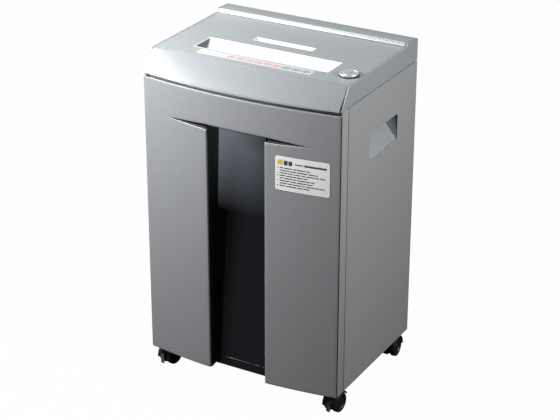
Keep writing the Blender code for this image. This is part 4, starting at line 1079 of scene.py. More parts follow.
SLOT_Y, SLOT_HALF, SLOT_WIDTH = depth(0.095), 0.1125, 0.006
FUNNEL_DROP, FUNNEL_DRAFT = 0.016, 0.009
floor_z = PLATE_Z - FUNNEL_DROP
foot_half = INLET_HALF - FUNNEL_DRAFT
slot_low, slot_high = SLOT_Y - SLOT_WIDTH / 2, SLOT_Y + SLOT_WIDTH / 2

funnel = []
for inset, rise in ((0.0, -0.0006), (0.0003, 0.0), (0.0018, 0.0), (0.0026, -0.0008)):
    funnel.append(outline_at(INLET_HALF, INLET_FRONT, INLET_REAR, inset, 0.001, PLATE_Z + rise))
funnel.append(outline_at(foot_half, slot_low - 0.0004, slot_high + 0.0012, 0.0, 0.0012, floor_z))
for z in (floor_z - 0.0006, THROAT_LOW.z + 0.001):
    funnel.append(outline_at(SLOT_HALF, slot_low, slot_high, 0.0, 0.0012, z))
add_inlet("paper_inlet", funnel, "feed_throat")
print(f"paper slot {2 * SLOT_HALF * 1000:.0f} x {SLOT_WIDTH * 1000:.0f} mm")

# %% [markdown]
# The ends of the paper inlet turn away from the light, and dark grey plates over them paint their
# shade. Each is a thin slab between the outline at the rim and the outline at the slot.

# %% Painted shade on the ends of the paper inlet
# Painted shade: dark grey plates over the white end walls, which face away from the light.
ends = bmesh.new()
rim_z, sole_z = PLATE_Z - 0.0010, floor_z + 0.0002
for side in SIDES:
    loops = []
    for inward in (0.0001, 0.0005):
        top_x = side * (INLET_HALF - 0.0027 - inward)
        foot_x = side * (foot_half - 0.0001 - inward)
        loops.append([
            (top_x, INLET_FRONT + 0.0028, rim_z),
            (top_x, INLET_REAR - 0.0028, rim_z),
            (foot_x, slot_high + 0.0010, sole_z),
            (foot_x, slot_low - 0.0002, sole_z),
        ])
    add_loft(ends, loops)
finish_piece("inlet_end_plates", ends, GREY_SHADE, "cabinet")
print("end plates:", len(SIDES))

# %% [markdown]
# The disc inlet is a short funnel of the same kind, with its slot near the front edge.

# %% Disc inlet
DISC_DROP, DISC_CHUTE, DISC_SLOT, DISC_INSET = 0.006, 0.013, 0.005, 0.0025
disc_slot_y = DISC_FRONT + DISC_INSET
funnel = []
for inset, rise in ((0.0, -0.0006), (0.0002, 0.0), (0.0010, 0.0)):
    funnel.append(outline_at(DISC_HALF, DISC_FRONT, DISC_REAR, inset, 0.0008, PLATE_Z + rise))
for drop in (DISC_DROP, DISC_CHUTE):
    half = DISC_HALF - DISC_INSET
    funnel.append(outline_at(half, disc_slot_y, disc_slot_y + DISC_SLOT, 0.0, 0.0008, PLATE_Z - drop))
add_inlet("disc_inlet", funnel, "disc_chute")
print(f"disc slot {2 * (DISC_HALF - DISC_INSET) * 1000:.0f} x {DISC_SLOT * 1000:.0f} mm")

# %% [markdown]
# The selector is a low turned button in satin silver. A rounded ridge across it is what the fingers hold,
# and a fine line at one end of the ridge points at the setting.

# %% Selector knob
KNOB_LOW, KNOB_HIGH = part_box("control_knob")
KNOB_R = (KNOB_HIGH.x - KNOB_LOW.x) / 2
KNOB_PLACE = (KNOB_LOW + KNOB_HIGH) / 2
KNOB_PLACE.z = 0
knob_foot = PLATE_Z + 0.0015
knob = bmesh.new()
button = [
    (0, 0.0036),
    (0.0115, 0.0034),
    (0.0138, 0.0030),
    (0.0156, 0.0040),
    (0.0163, 0.0038),
    (0.0168, 0.0030),
    (KNOB_R, 0.0006),
    (KNOB_R - 0.0006, 0),
    (0.004, 0),
    (0.003, -0.0125),
    (0, -0.0125),
]
add_turned(knob, button, KNOB_PLACE + Vector((0, 0, knob_foot)), axis="Z", steps=72)
RIDGE_HALF, RIDGE_LONG = 0.0026, 0.0145
ridge_loops = []
for grow, z in ((0.0008, 0.0026), (0.0002, 0.0046), (-0.0006, 0.0054), (-0.0016, 0.0055)):
    half, long = RIDGE_HALF + grow, RIDGE_LONG + grow
    outline = rounded_loop((-half, -long), (half, long), half * 0.95)
    ridge_loops.append([(KNOB_PLACE.x + u, KNOB_PLACE.y + v, knob_foot + z) for u, v in outline])
add_loft(knob, ridge_loops)
finish_piece("selector_button", knob, KNOB_PLATE, "knob", ["control_knob"], smooth=30)

print(f"knob {2 * KNOB_R * 1000:.0f} mm across")

# %% [markdown]
# A dark ring between the button and the plate, set off towards the front and the right, is a painted
# shadow that shows as a thin crescent. The pointer is a line of ink on top of the ridge, so it turns with
# the knob, while the dark ring stays where it is.

# %% Painted shadow ring and pointer of the knob
# Painted shadow: a dark ring under the button, offset to the front and the right.
button_seat = bmesh.new()
shadow_ring_r = KNOB_R + 0.0016
washer = [
    (0.006, 0.0001),
    (shadow_ring_r, 0.0001),
    (shadow_ring_r, 0.0004),
    (shadow_ring_r - 0.0004, 0.0007),
    (0.006, 0.0007),
]
add_turned(button_seat, washer, KNOB_PLACE + Vector((0.0006, -0.0006, PLATE_Z)), axis="Z")
finish_piece("button_seat", button_seat, BLACK_ABS, "cabinet")

pointer = bmesh.new()
top = knob_foot + 0.0055
low = KNOB_PLACE + Vector((-0.0004, -RIDGE_LONG + 0.002, top - 0.0001))
high = KNOB_PLACE + Vector((0.0004, -RIDGE_LONG + 0.007, top + 0.00005))
add_box(pointer, low, high)
finish_piece("button_pointer", pointer, DARK_INK, "knob")
print(f"pointer {(high.y - low.y) * 1000:.0f} mm long, washer {2 * shadow_ring_r * 1000:.1f} mm across")

# %% [markdown]
# ## Printing
#
# Small marks in front of the paper inlet tell what may go in. Here they are plain blocks of ink: round,
# square and dashed shapes with no picture or lettering. Each one is a film less than a tenth of a
# millimetre thick. The marks repeat along a line, so Geometry Nodes lay them out: a line of points, a copy
# of one mark on each point, then Realize Instances and Set Material, which make real faces of the copies.

# %% A tree that repeats an object along a line
def row_tree():
    """Copies an object along a line. Each copy can be turned a little further about X than the last."""
    tree = bpy.data.node_groups.new("row_of_copies", "GeometryNodeTree")
    inputs = {
        "Item": "NodeSocketObject",
        "Count": "NodeSocketInt",
        "Start": "NodeSocketVector",
        "Step": "NodeSocketVector",
        "Turn": "NodeSocketFloat",
        "Finish": "NodeSocketMaterial",
    }
    for label, kind in inputs.items():
        tree.interface.new_socket(label, in_out="INPUT", socket_type=kind)
    tree.interface.new_socket("Mesh", in_out="OUTPUT", socket_type="NodeSocketGeometry")
    given = add_node(tree, "NodeGroupInput").outputs
    line = add_node(
        tree,
        "GeometryNodeMeshLine",
        {"Count": given["Count"], "Start Location": given["Start"], "Offset": given["Step"]},
        mode="OFFSET",
    )
    item = add_node(tree, "GeometryNodeObjectInfo", {"Object": given["Item"]})
    index = add_node(tree, "GeometryNodeInputIndex").outputs[0]
    angle = add_node(tree, "ShaderNodeMath", {0: index, 1: given["Turn"]}, operation="MULTIPLY")
    euler = add_node(tree, "ShaderNodeCombineXYZ", {"X": angle.outputs[0]})
    turn = add_node(tree, "FunctionNodeEulerToRotation", {0: euler.outputs[0]})
    copies = add_node(
        tree,
        "GeometryNodeInstanceOnPoints",
        {"Points": line.outputs["Mesh"], "Instance": item.outputs["Geometry"], "Rotation": turn.outputs[0]},
    )
    real = add_node(tree, "GeometryNodeRealizeInstances", {"Geometry": copies.outputs["Instances"]})
    done = add_node(
        tree, "GeometryNodeSetMaterial", {"Geometry": real.outputs["Geometry"], "Material": given["Finish"]}
    )
    add_node(tree, "NodeGroupOutput", {"Mesh": done.outputs["Geometry"]})
    return tree


ROW = row_tree()
print("the tree takes:", [item.name for item in ROW.interface.items_tree if item.in_out == "INPUT"])

# %% [markdown]
# To use the tree, an empty host object gets it as a modifier. The mesh that comes out is copied into the
# shape, and the host and the pattern are thrown away.

# %% Rows of copies
def add_row(shape, item, finish, count, start, step, turn=0.0):
    """Runs the tree on a small mesh and adds the copies to a shape."""
    mesh = bpy.data.meshes.new("item")
    item.to_mesh(mesh)
    item.free()
    pattern = add_object("item", mesh)
    host = add_object("host", bpy.data.meshes.new("host"))
    rows = host.modifiers.new("row", "NODES")
    rows.node_group = ROW
    sockets = {s.name: s.identifier for s in ROW.interface.items_tree if s.in_out == "INPUT"}
    values = {"Item": pattern, "Count": count, "Start": start, "Step": step, "Turn": turn, "Finish": finish}
    for label, value in values.items():
        rows[sockets[label]] = value
    graph = bpy.context.evaluated_depsgraph_get()
    made = bpy.data.meshes.new_from_object(host.evaluated_get(graph))
    shape.from_mesh(made)
    for obj in (host, pattern):
        bpy.data.objects.remove(obj)
    bpy.data.meshes.remove(made)


# %% [markdown]
# A white ground is printed first and the marks lie on it. Each mark in a row is a rounded frame with a dot
# in it. Real printing is far thinner than this film, which has to stand clear of the plate.

# %% Marks in front of the inlet
FILM = 0.00008
LINE = 0.0018


def add_film(shape, x, y, half_x, half_y, radius, z):
    """A thin flat film of ink, a rounded rectangle about x and y."""
    outline = rounded_loop((x - half_x, y - half_y), (x + half_x, y + half_y), radius, 3)
    add_prism(shape, outline, "Z", z, z + FILM)


def mark(width, tall):
    """A rounded frame with a dot in it, centred on the origin."""
    shape = bmesh.new()
    x, y = width / 2, tall / 2
    outer = rounded_loop((-x, -y), (x, y), 0.0022, 3)
    inner = rounded_loop((LINE - x, LINE - y), (x - LINE, y - LINE), 0.0008, 3)
    add_ring(shape, outer, inner, "Z", 0, FILM)
    add_film(shape, 0, 0, 0.0016, 0.0016, 0.0010, 0)
    return shape


MARK_Y, MARK_TALL = depth(0.054), 0.0090
STRIP_X, STRIP_HALF_X, STRIP_HALF_Y = -0.001, 0.117, 0.011
ink_z = PLATE_Z + FILM

strip = bmesh.new()
add_film(strip, STRIP_X, depth(0.0545), STRIP_HALF_X, STRIP_HALF_Y, 0.002, PLATE_Z)
finish_piece("mark_strip", strip, STRIP_INK, "cabinet")
for name, ink, width, count, first, pitch in (
    ("red_marks", RED_INK, 0.0138, 6, -0.0484, 0.0187),
    ("dark_marks", DARK_INK, 0.0155, 3, 0.0640, 0.0193),
):
    marks = bmesh.new()
    add_row(marks, mark(width, MARK_TALL), ink, count, (first, MARK_Y, ink_z), (pitch, 0, 0))
    finish_piece(name, marks, ink, "cabinet")
dash = bmesh.new()
add_film(dash, 0, 0, 0.0029, 0.0009, 0.0006, 0)
pale_marks = bmesh.new()
add_row(pale_marks, dash, PALE_INK, 4, (-0.097, MARK_Y, ink_z), (0.0095, 0, 0))
add_film(pale_marks, KNOB_PLACE.x - 0.010, depth(0.056), 0.002, 0.0007, 0.0006, ink_z)
add_film(pale_marks, KNOB_PLACE.x - 0.006, depth(0.105), 0.003, 0.0007, 0.0006, ink_z)
finish_piece("pale_marks", pale_marks, PALE_INK, "cabinet")
amber_mark = bmesh.new()
add_film(amber_mark, -0.109, MARK_Y, 0.0035, 0.0034, 0.0012, ink_z)
finish_piece("amber_mark", amber_mark, AMBER_INK, "cabinet")
print(f"strip of marks {2 * STRIP_HALF_X * 1000:.0f} mm long")

# %% [markdown]
# ## Information label
#
# A paper label sits on the right wing of the drawer front. It follows the bow, so its outline is cut
# into thin strips and each point is set on the curved surface.

# %% Label: paper and edge
LABEL_X, LABEL_Z = (0.081, 0.184), (0.455, 0.521)


def on_front(shape, low, high, radius, lift, steps=12, corner_points=5):
    """A patch that follows the bowed front, a little above it. One corner point leaves it square."""
    turns = [math.radians(22.5 * i) for i in range(corner_points)]
    corner = [(radius * (1 - math.cos(turn)), radius * (1 - math.sin(turn))) for turn in turns]
    flat = high[0] - low[0] - 2 * radius
    columns = [(low[0] + run, inset) for run, inset in corner]
    columns += [(low[0] + radius + flat * i / steps, 0.0) for i in range(1, steps)]
    columns += [(high[0] - run, inset) for run, inset in reversed(corner)]
    rows = []
    for x, inset in columns:
        near, far = front_y(x) - lift - FILM, front_y(x) - lift
        bottom, top = low[1] + inset, high[1] - inset
        rows.append([(x, near, bottom), (x, near, top), (x, far, top), (x, far, bottom)])
    add_loft(shape, rows)


EDGE_LINE = 0.0008
label = bmesh.new()
on_front(label, (LABEL_X[0], LABEL_Z[0]), (LABEL_X[1], LABEL_Z[1]), 0.004, 1.5 * FILM)
finish_piece("label_sheet", label, LABEL_PAPER, "drawer")
print("label", round((LABEL_X[1] - LABEL_X[0]) * 1000), "mm wide")

# %% [markdown]
# Nothing on the label can be read. Two dark blocks and an amber one stand for its heading, and bars stand
# for its lines of small print, split where a line would have spaces. A dark edge under the paper, in the
# same ink as the heading, is a painted shadow line such as a thick label casts.

# %% Label: blocks and bars
INK_LIFT = 3 * FILM
left, right = LABEL_X[0] + 0.005, LABEL_X[1] - 0.006
top = LABEL_Z[1] - 0.006
BLOCK_WIDE = 0.0072
label_heading_and_shadow = bmesh.new()
# Painted shadow: a dark edge a little larger than the paper, lying under it.
low = (LABEL_X[0] - EDGE_LINE, LABEL_Z[0] - EDGE_LINE)
high = (LABEL_X[1] + EDGE_LINE, LABEL_Z[1] + EDGE_LINE)
on_front(label_heading_and_shadow, low, high, 0.0046, 0.2 * FILM)
for start in (left + 0.012, left + 0.0208):
    on_front(label_heading_and_shadow, (start, top - 0.0105), (start + BLOCK_WIDE, top - 0.002), 0.001, INK_LIFT, 4)
finish_piece("label_headline", label_heading_and_shadow, DARK_INK, "drawer")

label_lines = bmesh.new()
on_front(label_lines, (left + 0.033, top - 0.0075), (left + 0.049, top - 0.0055), 0, INK_LIFT, 3, 1)
on_front(label_lines, (left + 0.051, top - 0.0083), (right, top - 0.0047), 0, INK_LIFT, 6, 1)
BAR_STEP, BAR_TALL, BAR_GAP, INDENT = 0.0049, 0.0019, 0.0016, 0.004
BAR_SHARES = (0.70, 0.82, 0.97, 0.62, 0.76, 0.72, 0.97, 0.66)
BULLETED = (0, 2, 3, 5, 7)
for i, share in enumerate(BAR_SHARES):
    z = top - 0.0155 - i * BAR_STEP
    if i in BULLETED:
        on_front(label_lines, (left - 0.001, z - BAR_TALL), (left + 0.001, z), 0, INK_LIFT, 1, 1)
    start, stop = left + INDENT, left + (right - left) * share
    word = 0
    while start < stop - BAR_GAP:
        end = min(start + 0.007 + 0.004 * ((3 * i + 2 * word) % 4), stop)
        on_front(label_lines, (start, z - BAR_TALL), (end, z), 0, INK_LIFT, 2, 1)
        start = end + BAR_GAP
        word += 1
finish_piece("label_bars", label_lines, PRINT_INK, "drawer")

label_mark = bmesh.new()
on_front(label_mark, (left, top - 0.0105), (left + 0.0095, top - 0.0015), 0.0015, INK_LIFT, 4)
finish_piece("label_mark", label_mark, AMBER_INK, "drawer")
print("bars:", len(BAR_SHARES))

# %% [markdown]
# ## Casters
#
# Each caster has two nylon wheels under a hood, on a stem that trails them. All four are alike, so a
# caster is drawn once with its stem on the Z axis, and then turned and moved to its place. Casters never
# stand quite straight after a machine has been rolled, so each has its own heading.

# %% Casters: places
WHEEL_LOW, WHEEL_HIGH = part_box("caster_wheel_front_left_outer")
WHEEL_Z = (WHEEL_LOW.z + WHEEL_HIGH.z) / 2
WHEEL_R = WHEEL_Z - 0.0001
TRAIL = 0.016
STEM_IN, STEM_FRONT, STEM_REAR = 0.0205, 0.053, 0.041
HEADINGS = {"front_left": -7, "front_right": -3, "rear_left": 176, "rear_right": 183}


def caster_place(tag):
    """Moves a caster from its stem on the Z axis to its own stem, turned to its heading."""
    x = (HALF - STEM_IN) * (-1 if "left" in tag else 1)
    y = depth(STEM_FRONT) if "front" in tag else REAR - STEM_REAR
    return Matrix.Translation((x, y, 0)) @ Matrix.Rotation(math.radians(HEADINGS[tag]), 4, "Z")


def around(radius, angle, x=0.0):
    """A point in a caster's side view, at an angle from straight ahead round the wheels' axle."""
    turn = math.radians(180 - angle)
    return (x, -TRAIL + radius * math.cos(turn), WHEEL_Z + radius * math.sin(turn))


print(f"wheels {2 * WHEEL_R * 1000:.0f} mm, {TRAIL * 1000:.0f} mm behind their stems")

# %% [markdown]
# The hood is a thin curved cover with a web in the middle that carries the axle. Its section is carried
# round the axle, and the collar and the stem are turned.

# %% Casters: hood
HOOD_IN, HOOD_OUT, HOOD_HALF, WEB = 0.0213, 0.0235, 0.0148, 0.006
HOOD_START, HOOD_SWEEP, HOOD_STEPS = -5, 155, 28


def add_hood(shape):
    """The hood, its web, its collar and its stem."""
    section = [(-HOOD_HALF, HOOD_IN), (-HOOD_HALF, HOOD_OUT), (HOOD_HALF, HOOD_OUT), (HOOD_HALF, HOOD_IN)]
    crown = [(x, 0, r) for x, r in section]
    ring = [(p.x, p.z) for p in soften(crown, 0.0020)]
    loops = []
    for i in range(HOOD_STEPS + 1):
        angle = HOOD_START + HOOD_SWEEP * i / HOOD_STEPS
        loops.append([around(r, angle, x) for x, r in ring])
    add_loft(shape, loops)
    web = [around(HOOD_IN + 0.0012, a) for a in range(10, 146, 9)]
    web_foot = WHEEL_Z - 0.009
    web = [(y, z) for _, y, z in web] + [(-TRAIL + 0.006, web_foot), (-TRAIL - 0.008, web_foot)]
    add_prism(shape, web, "X", -WEB / 2, WEB / 2)
    collar = [
        (0, BASE_Z - GAP),
        (0.0095, BASE_Z - GAP),
        (0.0095, BASE_Z - 0.004),
        (0.008, WHEEL_Z + 0.014),
        (0, WHEEL_Z + 0.014),
    ]
    add_turned(shape, collar, axis="Z", steps=32)
    stem = [
        (0, BASE_Z + 0.016),
        (0.0045, BASE_Z + 0.016),
        (0.0055, BASE_Z + 0.014),
        (0.0055, BASE_Z - 0.002),
        (0, BASE_Z - 0.002),
    ]
    add_turned(shape, stem, axis="Z", steps=24)


print(f"hood {2 * HOOD_HALF * 1000:.0f} mm wide")

# %% [markdown]
# A wheel is one turned profile: a rounded tread, a rim, a dished face and a cap that hides the axle's end.

# %% Casters: wheel
WHEEL_NEAR, WHEEL_WIDE = WEB / 2 + 0.0006, 0.0105


def add_wheel(shape, side):
    """One wheel of the pair, on one side of the hood's web."""
    far = WHEEL_NEAR + WHEEL_WIDE
    profile = [
        (0, far - 0.0012),
        (0.0034, far - 0.0012),
        (0.0042, far - 0.0030),
        (0.0125, far - 0.0034),
        (0.0140, far - 0.0008),
        (WHEEL_R - 0.0032, far - 0.0002),
        (WHEEL_R - 0.0012, far - 0.0006),
        (WHEEL_R - 0.0002, far - 0.0018),
        (WHEEL_R, far - 0.0032),
        (WHEEL_R, WHEEL_NEAR + 0.0012),
        (WHEEL_R - 0.0008, WHEEL_NEAR),
        (0.0033, WHEEL_NEAR),
        (0.0033, far - 0.0050),
        (0, far - 0.0050),
    ]
    profile = [(r, side * a) for r, a in profile]
    add_turned(shape, profile, Vector((0, -TRAIL, WHEEL_Z)), steps=56)


print(f"each wheel {WHEEL_WIDE * 1000:.1f} mm wide")

# %% [markdown]
# The front casters also carry a brake tab, which hangs in front of the wheels between two lugs. A foot
# presses it down and it tilts about its barrel.

# %% Casters: brake tab
LEVER_Z, LEVER_R, LEVER_HALF, LEVER_THICK = 0.028, 0.0022, 0.004, 0.0022
LEVER_FOOT, LUG = 0.009, 0.002


def lever_pivot():
    """Y and Z of the brake tab's pivot, just clear of the hood."""
    rise = LEVER_Z - WHEEL_Z
    reach = HOOD_OUT + GAP + LEVER_R + 0.0002
    return -TRAIL - math.sqrt(reach**2 - rise**2), LEVER_Z


def add_lever(shape):
    """A turned barrel with a flat tab under it, whose edges are slightly rounded."""
    y, z = lever_pivot()
    barrel = [(0, -LEVER_HALF), (LEVER_R, -LEVER_HALF), (LEVER_R, LEVER_HALF), (0, LEVER_HALF)]
    add_turned(shape, barrel, Vector((0, y, z)), steps=24)
    face = y - LEVER_R
    loops = []
    for back, grow in ((0.0, -0.0005), (0.0005, 0.0), (LEVER_THICK - 0.0004, 0.0), (LEVER_THICK, -0.0004)):
        half = LEVER_HALF + grow
        outline = rounded_loop((-half, LEVER_FOOT - grow), (half, z + grow), 0.0016)
        loops.append([(u, face + back, v) for u, v in outline])
    add_loft(shape, loops)


def add_ears(shape):
    """The pair of lugs that hold the brake tab's pivot."""
    y, z = lever_pivot()
    root = math.degrees(math.atan2(z - WHEEL_Z, -TRAIL - y))
    outline = [around((HOOD_IN + HOOD_OUT) / 2, root + turn)[1:] for turn in (-9, 0, 9)]
    outline += [(y - LEVER_R, z + LEVER_R), (y - LEVER_R, z - LEVER_R)]
    for side in SIDES:
        low_x, high_x = on_side(side, LEVER_HALF + GAP, LEVER_HALF + GAP + LUG)
        add_prism(shape, outline, "X", low_x, high_x)


print(f"brake tab {2 * LEVER_HALF * 1000:.0f} mm wide")

# %% [markdown]
# Every piece of a caster rides on its own body, so the hood swivels, each wheel rolls and the tab tilts.
# The outer wheel is the one on the outside while a caster points forwards. The rear casters are turned
# round, so there it is the wheel nearer the middle of the machine.

# %% Casters: put together
def place_caster_piece(name, shape, place, finish, body, node, bevel=0.0):
    """Moves a shape that is drawn on the Z axis to its caster's place and finishes it."""
    bmesh.ops.transform(shape, matrix=place, verts=shape.verts)
    finish_piece(name, shape, finish, body, [node], bevel=bevel)


for tag in HEADINGS:
    place = caster_place(tag)
    outward = 1 if "right" in tag else -1
    braked = "front" in tag
    hood, body, node = bmesh.new(), f"caster_{tag}", f"caster_hood_{tag}"
    add_hood(hood)
    if braked:
        add_ears(hood)
    place_caster_piece(f"hood_{tag}", hood, place, BLACK_ABS, body, node, 0.0003)
    for side in SIDES:
        wheel_name = f"wheel_{tag}_{'outer' if side == outward else 'inner'}"
        wheel = bmesh.new()
        add_wheel(wheel, side)
        node = f"caster_{wheel_name}"
        place_caster_piece(wheel_name, wheel, place, WHEEL_NYLON, wheel_name, node)
    if braked:
        lever, body, node = bmesh.new(), f"brake_{tag}", f"brake_lever_{tag}"
        add_lever(lever)
        place_caster_piece(f"brake_tab_{tag}", lever, place, GREY_SHADE, body, node)
print("casters:", len(HEADINGS))

# %% [markdown]
# ## Cutters
#
# Two shafts carry the cutting discs. Each disc has hooked teeth that chop the strips into short pieces,
# and each disc is turned a little from the last, so that only a few teeth bite at a time. One disc is
# made, with a few dozen faces, and the tree from before repeats it along the shaft. Three plates side by
# side fill the room of one wide disc of the frame.

# %% Cutters
CUTTER_LOW, CUTTER_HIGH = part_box("cutter_shaft_rear")
CUTTER_Z = (CUTTER_LOW.z + CUTTER_HIGH.z) / 2
CUTTER_CENTRES = 0.042
CUTTER_R, SPACER_R, JOURNAL_R = 0.0243, 0.014, 0.006
DISCS, TEETH, PLATES = 12, 9, 3
DISC_PITCH = 2 * SLOT_HALF / DISCS
DISC_WIDE = DISC_PITCH / 2 - 0.0005
PLATE_STEP = DISC_WIDE / PLATES
PLATE_HALF = PLATE_STEP * 0.42  # half of a plate, with a little air to the next one
FIRST_TURN, PLATE_TURN = 7, 3
SHOULDER = SLOT_HALF + 0.0054


def toothed_disc():
    """One cutting disc about the X axis: a ring of teeth, each with a hook and a sloping back."""
    outline = []
    for i in range(TEETH):
        for share, radius in ((0.0, CUTTER_R), (0.10, CUTTER_R - 0.0034), (0.4, CUTTER_R - 0.0016)):
            angle = 2 * math.pi * (i + share) / TEETH
            outline.append((radius * math.cos(angle), radius * math.sin(angle)))
    shape = bmesh.new()
    add_prism(shape, outline, "X", -PLATE_HALF, PLATE_HALF)
    return shape


def add_cutter(name, y, offset, body, node):
    """A shaft with its rows of plates. The offset is a share of the pitch, so that the shafts interleave."""
    low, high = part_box(node)
    shaft = [(0, high.x), (JOURNAL_R, high.x), (JOURNAL_R, SHOULDER), (SPACER_R, SHOULDER)]
    shaft += [(SPACER_R, -SHOULDER), (JOURNAL_R, -SHOULDER), (JOURNAL_R, low.x), (0, low.x)]
    shape = bmesh.new()
    add_turned(shape, shaft, Vector((0, y, CUTTER_Z)), steps=40)
    for i in range(PLATES):
        first = -SLOT_HALF + offset * DISC_PITCH + (i - (PLATES - 1) / 2) * PLATE_STEP
        start, turn = (first, y, CUTTER_Z), math.radians(FIRST_TURN + PLATE_TURN * i)
        add_row(shape, toothed_disc(), TOOL_STEEL, DISCS, start, (DISC_PITCH, 0, 0), turn)
    finish_piece(name, shape, TOOL_STEEL, body, [node], smooth=25)


add_cutter("front_cutter", SLOT_Y - CUTTER_CENTRES / 2, 0.25, "cutter_front", "cutter_shaft_front")
add_cutter("rear_cutter", SLOT_Y + CUTTER_CENTRES / 2, 0.75, "cutter_rear", "cutter_shaft_rear")
print("cutting discs:", 2 * DISCS * PLATES)

# %% [markdown]
# ## Bin and tray
#
# The bin and the tray in it are open vessels, a little narrower at the foot, so that they come out of
# their moulds. Both are lofted from the outline of the foot up to the rim and down the inside.

# %% Vessel


FOOT, RIM = 0.003, 0.004


def add_vessel(shape, low, high, foot_z, rim_z, wall, draft, radius):
    """An open-topped vessel with draft, rounded corners, a bevelled foot and an upright rim."""
    levels = [
        (draft + FOOT, foot_z),
        (draft, foot_z + FOOT),
        (0.0, rim_z - RIM),
        (0.0, rim_z),
        (wall, rim_z),
        (wall + draft, foot_z + wall + FOOT),
        (wall + draft + FOOT, foot_z + wall),
    ]
    loops = []
    for inset, z in levels:
        near, far = (low[0] + inset, low[1] + inset), (high[0] - inset, high[1] - inset)
        loops.append([(x, y, z) for x, y in rounded_loop(near, far, radius, 5)])
    add_loft(shape, loops)


print("a vessel has", len(rounded_loop((0, 0), (1, 1), 0.1, 5)), "points in its outline")

# %% [markdown]
# The bin is a large dark moulding. Thin ribs stiffen the inside of its rear wall, and a pad on each side
# meets the runner.

# %% Waste bin
BIN_LOW, BIN_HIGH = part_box("waste_bin")
PAD, PAD_END, PAD_SINK = 0.0059, 0.020, 0.010
BIN_RIBS, RIB_INSET = 9, 0.025
bin_low = (BIN_LOW.x + PAD, BIN_LOW.y)
bin_high = (BIN_HIGH.x - PAD, BIN_HIGH.y)
bin_shape = bmesh.new()
add_vessel(bin_shape, bin_low, bin_high, BIN_LOW.z, BIN_HIGH.z, wall=0.0025, draft=0.003, radius=0.012)
for side in SIDES:
    low_x, high_x = on_side(side, bin_high[0] - 0.004, BIN_HIGH.x)
    low = (low_x, BIN_LOW.y + PAD_END, RAIL_LOW.z + PAD_SINK)
    high = (high_x, BIN_HIGH.y - PAD_END, RAIL_HIGH.z - PAD_SINK)
    add_box(bin_shape, low, high)
rib = bmesh.new()
add_box(rib, (-0.0015, -0.0011, 0), (0.0015, 0.0011, BIN_HIGH.z - BIN_LOW.z - 0.040))
rib_step = (bin_high[0] - bin_low[0] - 2 * RIB_INSET) / (BIN_RIBS - 1)
rib_place = (bin_low[0] + RIB_INSET, BIN_HIGH.y - 0.0035, BIN_LOW.z + 0.020)
add_row(bin_shape, rib, BIN_POLYPROPYLENE, BIN_RIBS, rib_place, (rib_step, 0, 0))
finish_piece(
    "ribbed_bin", bin_shape, BIN_POLYPROPYLENE, "drawer", ["waste_bin"], bevel=0.0005
)
print("bin", round((BIN_HIGH.z - BIN_LOW.z) * 1000), "mm tall")

# %% [markdown]
# Pieces of discs are kept apart from the paper, in a shallow tray that hangs on the sides of the bin.

# %% Disc tray
TRAY_LOW, TRAY_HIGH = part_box("disc_tray")
HANG_END = 0.006
tray_half = bin_high[0] - 0.0037
low, high = (-tray_half, TRAY_LOW.y), (tray_half, TRAY_HIGH.y)
tray = bmesh.new()
add_vessel(tray, low, high, TRAY_LOW.z, TRAY_HIGH.z - 0.0002, wall=0.002, draft=0.002, radius=0.005)
for side in SIDES:
    low_x, high_x = on_side(side, tray_half - 0.002, bin_high[0])
    low = (low_x, TRAY_LOW.y + HANG_END, TRAY_HIGH.z - 0.002)
    high = (high_x, TRAY_HIGH.y - HANG_END, TRAY_HIGH.z - 0.0001)
    add_box(tray, low, high)
finish_piece("hanging_tray", tray, BIN_POLYPROPYLENE, "drawer", ["disc_tray"], bevel=0.0004)
print("tray", round((TRAY_HIGH.z - TRAY_LOW.z) * 1000), "mm tall")

# %% [markdown]
# ## Back panel and the solids that stay
#
# The back panel is a sheet set into the cabinet. Louvres are pressed out of it beside the motor, and
# screws hold it along its edges. The louvres and the screws repeat, so the same tree lays them out.

# %% Back panel
BACK_LOW, BACK_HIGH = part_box("back_panel")
GLAND_LOW, GLAND_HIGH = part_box("cord_gland")
GLAND_X, GLAND_Z = (GLAND_LOW.x + GLAND_HIGH.x) / 2, (GLAND_LOW.z + GLAND_HIGH.z) / 2
GLAND_HOLE = 0.008
LOUVRES, LOUVRE_STEP, LOUVRE_Z, LOUVRE_COLUMNS = 9, 0.0125, 0.470, (-0.115, -0.066)
SIDE_SCREWS, SIDE_STEP = 4, 0.168
END_SCREWS, END_STEP = 3, 0.110


def louvre():
    """A pressed louvre: a low hood over a slit, open at its lower edge."""
    shape = bmesh.new()
    rows = []
    for x, tall in ((-0.022, 0.0), (-0.018, 0.0030), (0.018, 0.0030), (0.022, 0.0)):
        rows.append([(x, 0.0002, 0.0065), (x, tall * 0.75, 0.0035), (x, tall, 0.0), (x, 0.0002, 0.0)])
    skin(shape, rows)
    weld(shape)
    return shape


def pan_screw():
    """A low pan head that faces the rear."""
    profile = [(0, 0.0016), (0.0018, 0.0016), (0.0031, 0.0008), (0.0034, 0), (0, 0)]
    shape = bmesh.new()
    add_turned(shape, profile, axis="Y", steps=12)
    return shape


